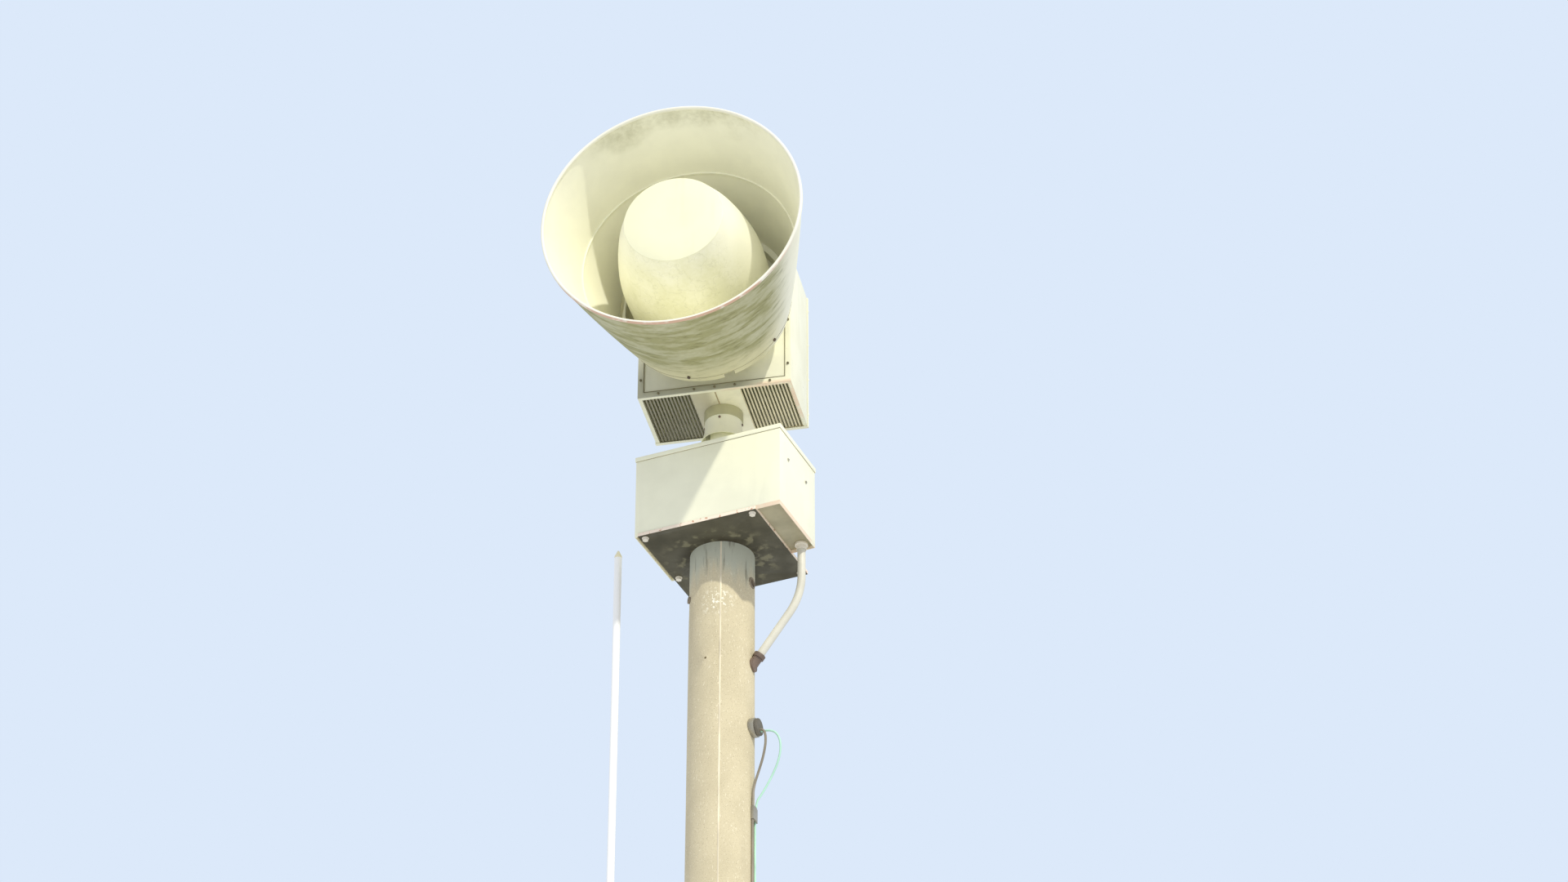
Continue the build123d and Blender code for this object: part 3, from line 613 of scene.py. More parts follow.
@dataclass(frozen=True)
class HornFinish(Finish):
    """Moulded shell with heavy growth outside, below, and a little at the top of the mouth."""

    aged: Colour = (222, 214, 166)
    growth: Colour = (168, 165, 118)
    dark_growth: Colour = (132, 131, 86)

    def marked(self, coat: Coat) -> Socket:
        """Colour with the shell's growth.

        Args:
            coat: the weathering under it.

        Returns:
            The colour.
        """
        graph, place = coat.graph, coat.place
        side, back, height = graph.parts(place)
        mask = graph.effect(coat.effects.algae, place, Amount=1.0, Scale=7.0)["Mask"]
        drawn = graph.vector("MULTIPLY", place, (0.3, 1.0, 0.3))
        runs = graph.steps(graph.noise(drawn, 30.0, 8.0), 0.40, 0.66)
        fine = graph.steps(graph.noise(drawn, 95.0, 6.0), 0.46, 0.64)
        centred = graph.vector("SUBTRACT", place, (0.0, 0.0, HORN_AXIS_Z))
        radial = graph.vector("MULTIPLY", centred, (1.0, 0.0, 1.0))
        normal = graph.add("ShaderNodeTexCoord").outputs["Normal"]
        outward = graph.steps(graph.measure("DOT_PRODUCT", normal, radial), 0.0, 0.02)
        lean = graph.plus(graph.times(side, 0.5), height)
        below = graph.steps(lean, HORN_AXIS_Z + 0.045, HORN_AXIS_Z - 0.155)
        ragged = graph.plus(graph.times(graph.noise(place, 9.0, 6.0), 0.22), back)
        forward = graph.plus(graph.steps(ragged, MOUTH_Y + 0.66, MOUTH_Y + 0.50, 0.7), 0.3)
        cover = graph.plus(graph.times(runs, 0.30), 0.70)
        cover = graph.plus(graph.times(mask, 0.2), cover, clamped=True)
        outside = graph.times(cover, below, forward, outward)
        rear = graph.times(graph.steps(ragged, MOUTH_Y + 0.46, MOUTH_Y + 0.62, 0.75), below, outward)
        colour = graph.mixed(rear, coat.colour, self.aged)
        above = graph.steps(height, HORN_AXIS_Z + 0.28, HORN_AXIS_Z + 0.40)
        lip = graph.steps(ragged, MOUTH_Y + 0.24, MOUTH_Y + 0.12, 0.75)
        inside = graph.times(mask, above, lip, 0.7)
        colour = graph.mixed(graph.plus(outside, inside, clamped=True), colour, self.growth)
        return graph.mixed(graph.times(outside, runs, fine, 0.75), colour, self.dark_growth)


@dataclass(frozen=True)
class RimFinish(Finish):
    """Rolled edge with its primer worn bare underneath."""

    primer: Colour = (214, 164, 130)

    def marked(self, coat: Coat) -> Socket:
        """Colour with the worn underside.

        Args:
            coat: the weathering under it.

        Returns:
            The colour.
        """
        graph, place = coat.graph, coat.place
        low = graph.steps(graph.part(place, "Z"), HORN_AXIS_Z + 0.05, HORN_AXIS_Z - 0.20)
        down = graph.times(graph.part(graph.add("ShaderNodeTexCoord").outputs["Normal"], "Z"), -1.0)
        broken = graph.steps(graph.noise(place, 18.0, 6.0), 0.30, 0.50, 0.85)
        return graph.mixed(graph.times(low, graph.steps(down, 0.30, 0.70), broken), coat.colour, self.primer)


@dataclass(frozen=True)
class SheetFinish(Finish):
    """Painted sheet with pinkish primer at its lower flanges and, above them on the front face, a darker
    film: painted shade with some dirt.
    """

    low: float = HOUSING_LOW
    fade: float = 0.014
    half: float = HOUSING_HALF
    front: float = HOUSING_FRONT
    shade_and_dirt: float = 0.0
    primer: Colour = (240, 198, 166)
    # Colour of the painted shade, with some dirt, low on the front face.
    shade_and_dirt_colour: Colour = (166, 165, 143)

    def marked(self, coat: Coat) -> Socket:
        """Colour with the bare flanges and the film of painted shade and dirt.

        Args:
            coat: the weathering under them.

        Returns:
            The colour.
        """
        graph, place = coat.graph, coat.place
        side, back, height = graph.parts(place)
        bottom = POLE_TOP + self.low
        rise = graph.plus(graph.times(graph.noise(place, 6.0, 6.0), 0.08), height)
        # Painted shade with some dirt: the front face darkens towards its bottom and left of x 0.19, where
        # the horn's shade lies; the primer fades under it.
        shade_film = graph.times(graph.steps(rise, bottom + 0.24, bottom + 0.08, self.shade_and_dirt),
                           graph.steps(side, 0.19, 0.08),
                           graph.steps(back, self.front + 0.004, self.front + 0.001),
                           graph.plus(graph.steps(side, -0.26, -0.12, 0.15), 0.95, clamped=True))
        edge = graph.times(graph.steps(height, bottom + self.fade, bottom + 0.002, 0.6),
                           graph.steps(graph.work("ABSOLUTE", side), self.half - 0.0002, self.half - 0.0015),
                           graph.steps(graph.noise(place, 12.0, 6.0), 0.36, 0.56),
                           graph.steps(side, -0.10, 0.20, graph.work("SUBTRACT", 1.0, shade_film)))
        return graph.mixed(shade_film, graph.mixed(edge, coat.colour, self.primer), self.shade_and_dirt_colour)


@dataclass(frozen=True)
class StripFinish(Finish):
    """Middle strip of the floor, with painted shade round the collar and on its left."""

    # Colour of the painted shade round the collar and on the strip's left.
    shade_and_dirt_colour: Colour = (176, 168, 136)

    def marked(self, coat: Coat) -> Socket:
        """Colour with the painted shade.

        Args:
            coat: the weathering under it.

        Returns:
            The colour.
        """
        graph, side = coat.graph, coat.graph.part(coat.place, "X")
        # Painted shade: a darker ring next to the collar, and the strip darker on its left.
        ring = graph.times(graph.steps(graph.from_pole(coat.place), 0.115, 0.075, 0.6),
                           graph.steps(side, 0.02, -0.02))
        shade_and_dirt = graph.work("MAXIMUM", ring, graph.steps(side, 0.005, -0.04, 0.72))
        return graph.mixed(shade_and_dirt, coat.colour, self.shade_and_dirt_colour)


@dataclass(frozen=True)
class StainedPlateFinish(Finish):
    """Dull plate, darker in a ring round the pole, with pale stains and peeled upright edges that carry a
    painted highlight.
    """

    ring: Colour = (66, 60, 44)
    stain: Colour = (158, 152, 118)
    # Painted highlight: upright edges as bright as if lit by the sun.
    edge: Colour = (252, 236, 214)
    chip: Colour = (206, 164, 136)

    def marked(self, coat: Coat) -> Socket:
        """Colour with the plate's stains and the painted highlight on its edges.

        Args:
            coat: the weathering under them.

        Returns:
            The colour.
        """
        graph, place = coat.graph, coat.place
        reach = graph.from_pole(place)
        ring = graph.times(graph.steps(reach, 0.165, 0.115, 0.8),
                           graph.steps(graph.noise(place, 22.0, 6.0), 0.3, 0.6))
        pale = graph.times(graph.steps(reach, 0.23, 0.15, 0.5),
                           graph.steps(graph.noise(place, 26.0, 7.0), 0.52, 0.66))
        colour = graph.mixed(pale, graph.mixed(ring, coat.colour, self.ring), self.stain)
        level = graph.part(graph.add("ShaderNodeNewGeometry").outputs["Normal"], "Z")
        # Painted highlight: upright faces get the bright edge colour, broken by reddish chips.
        upright = graph.steps(graph.work("ABSOLUTE", level), 0.6, 0.3)
        painted_lit_edge_and_chips = graph.mixed(graph.steps(graph.noise(place, 70.0, 4.0), 0.56, 0.64), self.edge, self.chip)
        return graph.mixed(upright, colour, painted_lit_edge_and_chips)


@dataclass(frozen=True)
class Pole:
    """Sizes of the pole, as the wires and fittings need them."""

    top_radius: float = 0.1122
    taper: float = 0.0025

    def radius(self, z: float) -> float:
        """Radius at a height."""
        return self.top_radius + (POLE_TOP - z) * self.taper

    def on_side(self, bearing: float, z: float, out: float = 0.0) -> Place:
        """Point on the pole's side at a bearing in degrees, or a distance out from it."""
        reach = self.radius(z) + out
        return reach * math.cos(math.radians(bearing)), reach * math.sin(math.radians(bearing)), z


class Palette:
    """Every finish of the object, built once."""

    def __init__(self) -> None:
        """Build the groups and then each material."""
        effects = Effects()
        finishes: dict[str, Finish] = {
            "box": SheetFinish("box_paint", (252, 251, 222), 0.42, mottle=0.012, streak=0.05, rust=0.15,
                               depth=0.0002, low=0.0127, fade=0.004, half=9.0),
            # The head and the front panel carry painted shade, with some dirt, low on their front faces.
            "head": SheetFinish("head_paint", (250, 248, 218), 0.45, mottle=0.02, streak=0.08, rust=0.5,
                                algae=0.12, shade_and_dirt=0.9),
            "panel": SheetFinish("front_panel_paint", (250, 248, 218), 0.45, mottle=0.03, streak=0.10,
                                 algae=0.1, shade_and_dirt=0.95),
            "horn": HornFinish("horn_shell", (254, 252, 226), 0.6, mottle=0.012, streak=0.03, depth=0.0004,
                               gloss=0.1),
            "dome": Finish("dome_shell_paint", (255, 253, 230), 0.42, mottle=0.012, streak=0.02, algae=0.35,
                           algae_colour=(214, 212, 156)),
            "face": Finish("dome_face_paint", (248, 246, 208), 0.42, mottle=0.01),
            "rim": RimFinish("rim_paint", (252, 249, 228), 0.4, mottle=0.02),
            # Painted shade: the left grille has the right grille's paint darkened for the shade it lies in.
            "grille_left": Finish("left_grille_paint", (143, 137, 110), 0.55, mottle=0.06, streak=0.0),
            "grille_right": Finish("right_grille_paint", (226, 215, 176), 0.55, mottle=0.06, streak=0.0),
            # Painted shade and algae: the collar is darker than the head's paint, partly for the housing's
            # shade above it.
            "collar": Finish("collar_paint", (192, 188, 146), 0.5, mottle=0.08, streak=0.3, algae=0.4),
            "skirt": Finish("skirt_paint", (251, 249, 220), 0.45, mottle=0.02, streak=0.10, algae=0.1),
            # The strip's darker ring and left side are painted shade.
            "strip": StripFinish("strip_paint", (248, 243, 208), 0.45, mottle=0.03, algae=0.05),
            # Painted shade: the box floor is darker than the box's paint to stand for the shade under the
            # box.
            "floor": Finish("box_floor_paint", (178, 170, 136), 0.5, mottle=0.06, streak=0.1, rust=0.3),
            # Painted shade: colour of the dark line that stands for the shade in the front panel's gap.
            "gap": Finish("dirty_gap", (138, 130, 96), 0.8, mottle=0.15),
            # Painted shadow with some dirt: colour of the dark line at the rear rim's edge.
            "rim_line": Finish("rim_line", (176, 168, 124), 0.8, mottle=0.15),
            "sleeve": Finish("sleeve_rust", (146, 132, 108), 0.6, mottle=0.2, rust=0.8),
            "rim_bolt": Finish("rim_bolt_rust", (118, 100, 76), 0.6, mottle=0.15),
            "lid_gap": Finish("lid_gap", (196, 186, 150), 0.7, mottle=0.1),
            "sealant": Finish("sealant", (176, 158, 118), 0.7, mottle=0.1),
            "screw": Finish("screw_head", (142, 134, 104), 0.5, 0.3, mottle=0.12, rust=0.6),
            "concrete": ConcreteFinish("spun_concrete", (216, 204, 169), 0.9, mottle=0.022, grain=240.0,
                                       depth=0.0012, streak=0.10,
                                       splash=Pole().on_side(-86.0, POLE_TOP - 0.24)),
            "seam": Finish("mould_seam_concrete", (252, 240, 208), 0.85, mottle=0.08, depth=0.0008),
            # The plate's bright upright edges are a painted highlight.
            "plate": StainedPlateFinish("plate_steel", (97, 93, 74), 0.6, mottle=0.10, streak=0.2, rust=0.3,
                                        gloss=0.2),
            "zinc": Finish("zinc", (190, 184, 166), 0.45, 0.55, mottle=0.14, grain=180.0, rust=0.5),
            "bolt": Finish("bolt_zinc", (246, 238, 216), 0.4, mottle=0.05),
            "conduit": Finish("conduit_paint", (230, 226, 206), 0.45, mottle=0.05, streak=0.15),
            "dark": Finish("dark_fitting", (134, 114, 98), 0.55, 0.2, mottle=0.2, rust=0.8),
            "rubber": Finish("dark_rubber", (122, 116, 102), 0.7, mottle=0.12),
            "grey": Finish("grey_sheath", (150, 140, 120), 0.5, mottle=0.08),
            "green": Finish("green_sheath", (198, 246, 218), 0.4, mottle=0.05),
            "white": Finish("antenna_white", (255, 255, 250), 0.35, mottle=0.0, streak=0.0),
            "tip": Finish("antenna_tip_yellowed", (254, 246, 208), 0.4, mottle=0.03),
        }
        self.made = {key: finish.build(effects) for key, finish in finishes.items()}

    def dress(self, obj: Object, key: str) -> None:
        """Give a piece one finish all over."""
        obj.data.materials.clear()
        obj.data.materials.append(self.made[key])


@dataclass
class Assembly:
    """Shared work of the sub-assemblies."""

    frame: dict
    palette: Palette
    body: str = "mast"

    def own(self, obj: Object, key: str, slot: str, *nodes: str) -> None:
        """Dress a new piece, let it ride and hide the solids that it replaces.

        Args:
            obj: the new piece.
            key: its finish in the palette.
            slot: the record's material slot; not used.
            nodes: the solids that it replaces.
        """
        self.palette.dress(obj, key)
        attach(obj, self.body)
        if nodes:
            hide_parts(*nodes)
        LOG.info("piece %s: %d faces", obj.name, len(obj.data.polygons))

    def soften(self, node: str, key: str, slot: str, width: float = 0.0012) -> None:
        """Put a copy with small rounded edges in place of a sheet or cast solid.

        Args:
            node: the solid.
            key: its finish in the palette.
            slot: the record's material slot.
            width: how far the rounding reaches from an edge.
        """
        obj = linked(node + "_finished", self.frame["nodes"][node].data.copy())
        only(obj)
        with editing():
            bpy.ops.mesh.customdata_custom_splitnormals_clear()
            bpy.ops.mesh.remove_doubles(threshold=MERGE)
            bpy.ops.mesh.dissolve_limited(angle_limit=math.radians(1))
        bevel = obj.modifiers.new("edge", "BEVEL")
        bevel.width = width
        bevel.segments = 2
        bevel.limit_method = "ANGLE"
        bevel.angle_limit = math.radians(40)
        bevel.use_clamp_overlap = True
        bpy.ops.object.modifier_apply(modifier=bevel.name)
        self.own(settle(obj, node + "_finished"), key, slot, node)

    def keep(self, node: str, key: str) -> None:
        """Dress a solid that stays as it is."""
        self.palette.dress(self.frame["nodes"][node], key)
        LOG.info("solid %s: %s", node, key)


@dataclass
class Mast(Assembly):
    """Pole, plate and what hangs on them."""

    pole: Pole = field(default_factory=Pole)
    seam_bearing: float = -80.0
    seam_radius: float = 0.0034
    seam_sunk: float = 0.0018
    seam_sway: float = 0.25
    seam_wave: float = 5.1
    seam_foot: float = 0.02
    seam_pitch: float = 0.86
    seam_points: int = 12

    def build(self) -> None:
        """Add the mould seam, and dress every piece of the pole."""
        self.keep("pole_shaft", "concrete")
        heights = [self.seam_foot + index * self.seam_pitch for index in range(self.seam_points)]
        heights.append(POLE_TOP - 0.001)
        bearings = [self.seam_bearing + self.seam_sway * math.sin(z * self.seam_wave) for z in heights]
        points = [self.pole.on_side(bearing, z, -self.seam_sunk) for bearing, z in zip(bearings, heights)]
        self.own(Wire("mould_seam", points, self.seam_radius).build(), "seam", "concrete")
        self.soften("base_plate", "plate", "plate_steel", 0.0015)
        self.soften("plate_bolts", "bolt", "zinc", 0.0008)
        self.soften("pole_sleeves", "sleeve", "dark_fitting", 0.001)


@dataclass
class BaseBox(Assembly):
    """Fixed box under the neck."""

    side_screws: tuple[Station, ...] = ((-0.170, 0.2213), (-0.0165, 0.2219))
    left: float = -0.222
    right: float = 0.320
    front: float = -0.241
    rear: float = 0.065
    lip: float = 0.311
    gap_sunk: float = 0.0006
    gap_radius: float = 0.0014

    def turned(self, x: float, y: float, height: float) -> Vector:
        """Point of the box, turned with it, at a height above the pole's top."""
        return Matrix.Rotation(BASE_TURN, 4, "Z") @ Vector((x, y, POLE_TOP + height))

    def lid_gap(self) -> Object:
        """Thin shadow line under the lid's lip, round the box.

        Returns:
            The line.
        """
        corners = [(self.left, self.front), (self.right, self.front), (self.right, self.rear),
                   (self.left, self.rear), (self.left, self.front)]
        loop = [tuple(self.turned(x, y, self.lip - self.gap_sunk)) for x, y in corners]
        return Wire("lid_gap_line", loop, self.gap_radius, straight=True).build()

    def build(self) -> None:
        """Round the sheet edges and add the lid's line and the side screws."""
        self.own(self.lid_gap(), "lid_gap", "box_paint")
        self.soften("base_box_shell", "box", "box_paint")
        self.soften("base_box_lid", "box", "box_paint")
        # The floor's darker finish is painted shade.
        self.soften("base_box_floor", "floor", "box_paint", 0.0005)
        outward = Matrix.Rotation(BASE_TURN, 4, "Z") @ Vector((1, 0, 0))
        places = [(self.turned(self.right, y, height), outward) for y, height in self.side_screws]
        self.own(ScrewRow("box_side_screws", 0.0055, 0.003, places).build(), "zinc", "zinc")


@dataclass
class Neck(Assembly):
    """Fixed stub, and the collar and skirt that turn on it."""

    top: float = 0.5603
    knee: float = 0.5363
    bottom: float = 0.476
    sheet: float = 0.0025
    radius: float = 0.066
    flare: float = 0.014

    def build(self) -> None:
        """Build the flared skirt and dress the rest."""
        self.soften("neck_stub", "box", "box_paint", 0.001)
        self.soften("stub_flange", "box", "box_paint", 0.001)
        self.body = "head"
        # The collar's darker finish is partly painted shade.
        self.soften("neck_collar", "collar", "head_paint", 0.0025)
        self.soften("collar_screws", "dark", "dark_fitting", 0.0005)
        outer = [(self.radius, self.top), (self.radius, self.knee + 0.002), (self.radius + 0.0001, self.knee)]
        for share in (0.25, 0.5, 0.75, 1.0):
            along = self.knee - (self.knee - self.bottom) * share
            outer.append((self.radius + self.flare * share ** 2, along))
        inner = [(radius - self.sheet, along) for radius, along in reversed(outer)]
        skirt = Turned("flared_skirt", outer + inner + [outer[0]], (0, 0, POLE_TOP), Axis.UP, 96)
        self.own(skirt.build(), "skirt", "head_paint", "rain_skirt")


@dataclass
class Housing(Assembly):
    """Turning housing with its covers, grilles and screws."""

    body: str = "head"
    front: float = HOUSING_FRONT
    low: float = HOUSING_LOW
    height: float = 0.5542
    half: float = HOUSING_HALF
    border: float = 0.022
    gap_radius: float = 0.0014
    low_row: tuple[float, ...] = (-0.200, -0.0715, 0.002, 0.0745, 0.200)
    low_row_height: float = 0.010
    top_row: tuple[float, ...] = (-0.200, -0.0715, 0.0745, 0.200)
    top_row_height: float = 0.543
    side_rows: tuple[float, ...] = (0.074, 0.262, 0.450)
    screw_inset: float = 0.011
    cover_rows: tuple[float, ...] = (0.05, 0.2, 0.35, 0.5)
    cover_screw_back: float = 0.134
    cover_proud: float = 0.0028
    bead_radius: float = 0.0022
    bead_start: float = 0.017
    bead_end: float = -0.071

    def front_screws(self) -> list[tuple[Vector, Vector]]:
        """Places of the screws on the front border.

        Returns:
            Foot and outward direction of each screw.
        """
        along = [(x, self.low_row_height) for x in self.low_row]
        for height in self.side_rows:
            along += [(-self.half + self.screw_inset, height), (self.half - self.screw_inset, height)]
        along += [(x, self.top_row_height) for x in self.top_row]
        return [(Vector((x, self.front, POLE_TOP + self.low + z)), Vector((0, -1, 0))) for x, z in along]

    def cover_screws(self) -> list[tuple[Vector, Vector]]:
        """Places of the screws on the rear cover's two sides.

        Returns:
            Foot and outward direction of each screw.
        """
        return [(Vector((side * (self.half + self.cover_proud), self.cover_screw_back,
                         POLE_TOP + self.low + height)), Vector((side, 0, 0)))
                for side in (-1, 1) for height in self.cover_rows]

    def panel_gap(self) -> Object:
        """Dark line between the front panel and the border round it: painted shade in the gap.

        Returns:
            The line.
        """
        inner, y = self.half - self.border, self.front - 0.0002
        low, high = POLE_TOP + self.low + self.border, POLE_TOP + self.low + self.height - self.border
        loop = [(-inner, y, low), (inner, y, low), (inner, y, high), (-inner, y, high), (-inner, y, low)]
        return Wire("front_panel_gap", loop, self.gap_radius, straight=True).build()

    def build(self) -> None:
        """Round the sheets, dress the grilles and set the screws."""
        self.soften("housing_shell", "head", "head_paint")
        self.soften("housing_rear_cover", "head", "head_paint")
        self.soften("housing_front_panel", "panel", "head_paint")
        self.soften("floor_strip", "strip", "head_paint", 0.0005)
        # The left grille's darker finish is painted shade.
        self.soften("grille_left", "grille_left", "head_paint", 0.0005)
        self.soften("grille_right", "grille_right", "head_paint", 0.0005)
        border = ScrewRow("border_screws", 0.0045, 0.004, self.front_screws())
        self.own(border.build(), "screw", "dark_fitting")
        cover = ScrewRow("cover_screws", 0.004, 0.0015, self.cover_screws())
        self.own(cover.build(), "head", "dark_fitting")
        # The gap line is painted shade.
        self.own(self.panel_gap(), "gap", "head_paint")
        under = POLE_TOP + self.low + 0.0004
        line = [(0, self.front + self.bead_start, under), (0, self.bead_end, under)]
        bead = Wire("strip_sealant", line, self.bead_radius, straight=True)
        self.own(bead.build(), "sealant", "head_paint")


@dataclass
class Horn(Assembly):
    """Bell with its rolled mouth and notched rear rim, and the dome inside."""

    body: str = "head"
    mouth: float = 0.457
    middle: Station = (0.381, 0.300)
    end: Station = (0.3058, 0.556)
    wall: float = 0.005
    seam: float = 0.283
    lip_drop: float = 0.005
    lip_crest: Station = (0.006, 0.004)
    lip_back: float = 0.009
    bead: float = 0.011
    tab: tuple[float, float] = (257.5, 282.0)
    tab_length: float = 0.034
    line_width: float = 0.0018
    line_depth: float = 0.003
    line_proud: float = 0.0005
    line_before: float = 0.0006
    face_back: float = 0.039
    face_radius: float = 0.174
    dome_line: tuple[Station, ...] = ((0.190, 0.076), (0.212, 0.130), (0.239, 0.230), (0.254, 0.335),
                                      (0.252, 0.470))
    dome_end: float = 0.246

    def arc(self) -> tuple[float, float, float]:
        """Circle through the bell's mouth, middle and end.

        Returns:
            Centre radius, centre distance and the circle's radius.
        """
        (x1, y1), (x2, y2), (x3, y3) = (self.mouth, 0.0), self.middle, self.end
        d = 2 * (x1 * (y2 - y3) + x2 * (y3 - y1) + x3 * (y1 - y2))
        s1, s2, s3 = x1 * x1 + y1 * y1, x2 * x2 + y2 * y2, x3 * x3 + y3 * y3
        cx = (s1 * (y2 - y3) + s2 * (y3 - y1) + s3 * (y1 - y2)) / d
        cy = (s1 * (x3 - x2) + s2 * (x1 - x3) + s3 * (x2 - x1)) / d
        return cx, cy, math.hypot(x1 - cx, y1 - cy)

    def radius(self, back: float) -> float:
        """Outer radius of the bell at a distance behind the mouth.

        Args:
            back: the distance.

        Returns:
            The radius.
        """
        cx, cy, size = self.arc()
        side = 1 if cx < self.mouth else -1
        return cx + side * math.sqrt(size * size - (back - cy) ** 2)

    def span(self, start: float, end: float, count: int = 12) -> list[Station]:
        """Stations of the bell's outside between two distances."""
        return [(self.radius(start + (end - start) * index / count), start + (end - start) * index / count)
                for index in range(count + 1)]

    def turned(self, name: str, stations: list[Station], segments: int = 180, **ends: bool) -> Object:
        """Piece turned round the horn's axis, its distances measured back from the mouth."""
        return Turned(name, stations, (0, MOUTH_Y, HORN_AXIS_Z), Axis.BACK, segments, **ends).build()

    def front_bell(self) -> Object:
        """Front bell from the rolled edge to the seam.

        Returns:
            The shell.
        """
        outer = self.span(self.bead, self.seam)
        inner = [(radius - self.wall, back) for radius, back in reversed(outer)]
        return self.turned("bell_front_shell", outer + inner + [outer[0]])

    def rear_bell(self) -> Object:
        """Rear bell with the inner lip at the seam and the tab drawn out of its rim.

        Returns:
            The shell.
        """
        outer = self.span(self.seam, self.end[1])
        inside = self.radius(self.seam) - self.wall
        foot = self.seam + self.lip_back
        drop, crest = inside - self.lip_drop, (inside - self.lip_crest[0], self.seam + self.lip_crest[1])
        lip = [(self.radius(foot) - self.wall, foot), (drop, foot), crest, (drop, self.seam)]
        inner = [(radius - self.wall, back) for radius, back in reversed(outer) if back > foot]
        obj = self.turned("bell_rear_shell", outer + inner + lip + [outer[0]])
        bpy.ops.object.mode_set(mode="EDIT")
        bpy.ops.mesh.select_mode(type="FACE")
        bpy.ops.mesh.select_all(action="DESELECT")
        bpy.ops.object.mode_set(mode="OBJECT")
        for face in obj.data.polygons:
            bearing = math.degrees(math.atan2(face.center.z - HORN_AXIS_Z, face.center.x)) % 360
            at_rim = face.center.y > MOUTH_Y + self.end[1] - 0.0005 and face.normal.y > 0.7
            face.select = at_rim and self.tab[0] < bearing < self.tab[1]
        with editing(None):
            bpy.ops.mesh.extrude_region_move(TRANSFORM_OT_translate={"value": (0, self.tab_length, 0)})
            narrowing = self.radius(self.end[1] + self.tab_length) / self.radius(self.end[1])
            bpy.ops.transform.resize(value=(narrowing, 1, narrowing), center_override=(0, 0, HORN_AXIS_Z))
        return settle(obj, "bell_rear_shell")

    def rim_line(self) -> Object:
        """Dark line round the rear rim and across its tab: painted shadow at the rim's edge, with some dirt.

        Returns:
            The line.
        """
        outer, start = self.radius(self.end[1]) + self.line_proud, self.end[1] - self.line_before
        inner, back = outer - self.line_depth, start + self.line_width
        return self.turned("rear_rim_line", [(outer, start), (outer, back), (inner, back), (inner, start),
                                             (outer, start)])

    def rim(self) -> Object:
        """Rolled edge of the mouth.

        Returns:
            The edge.
        """
        outer, inner, half = self.mouth, self.mouth - self.bead, self.bead / 2
        stations = [(inner, self.bead), (inner, half)]
        for index in range(1, 8):
            angle = math.pi * index / 8
            stations.append((outer - half - half * math.cos(angle), half - half * math.sin(angle)))
        stations += [(outer, half), (outer, self.bead), (inner, self.bead)]
        return self.turned("mouth_rim", stations, 220)

    def dome(self) -> Object:
        """Ogive side of the dome, one smooth line from its face to its rear.

        Returns:
            The side.
        """
        start = (self.face_radius + 0.0002, self.face_back + 0.0015)
        line = smooth_line([start, *self.dome_line], 8)
        return self.turned("dome_side", line + [(self.dome_end, line[-1][1])], 160, closed=False)

    def face(self) -> Object:
        """Flat face of the dome, its edge slightly rounded.

        Returns:
            The face.
        """
        edge, back = self.face_radius, self.face_back
        stations = [(0.02, back), (0.09, back), (edge - 0.0016, back), (edge, back + 0.0009),
                    (edge, back + 0.004), (edge - 0.006, back + 0.0042)]
        return self.turned("dome_front", stations, 160, closed=False, capped=True)

    def build(self) -> None:
        """Build the bell and the dome, and dress the solids behind them."""
        self.own(self.front_bell(), "horn", "horn_shell", "bell_front")
        self.own(self.rear_bell(), "horn", "horn_shell", "bell_rear")
        self.own(self.rim_line(), "rim_line", "horn_shell")
        self.own(self.rim(), "rim", "horn_shell", "mouth_bead")
        self.own(self.dome(), "dome", "horn_shell", "dome_shell")
        self.own(self.face(), "face", "horn_shell", "dome_face")
        for node in ("bell_rear_band", "throat_ring", "bell_back_plate", "dome_stem", "dome_back"):
            self.soften(node, "horn", "horn_shell", 0.0008)
        self.soften("rim_bolts", "rim_bolt", "dark_fitting", 0.001)


@dataclass(frozen=True)
class Sheath:
    """A wire's size and course.

    Its bulge is share of the turn, reach from the axis and drop of each free point.
    """

    radius: float
    side: int
    bearing: float
    bulge: tuple[Place, ...]


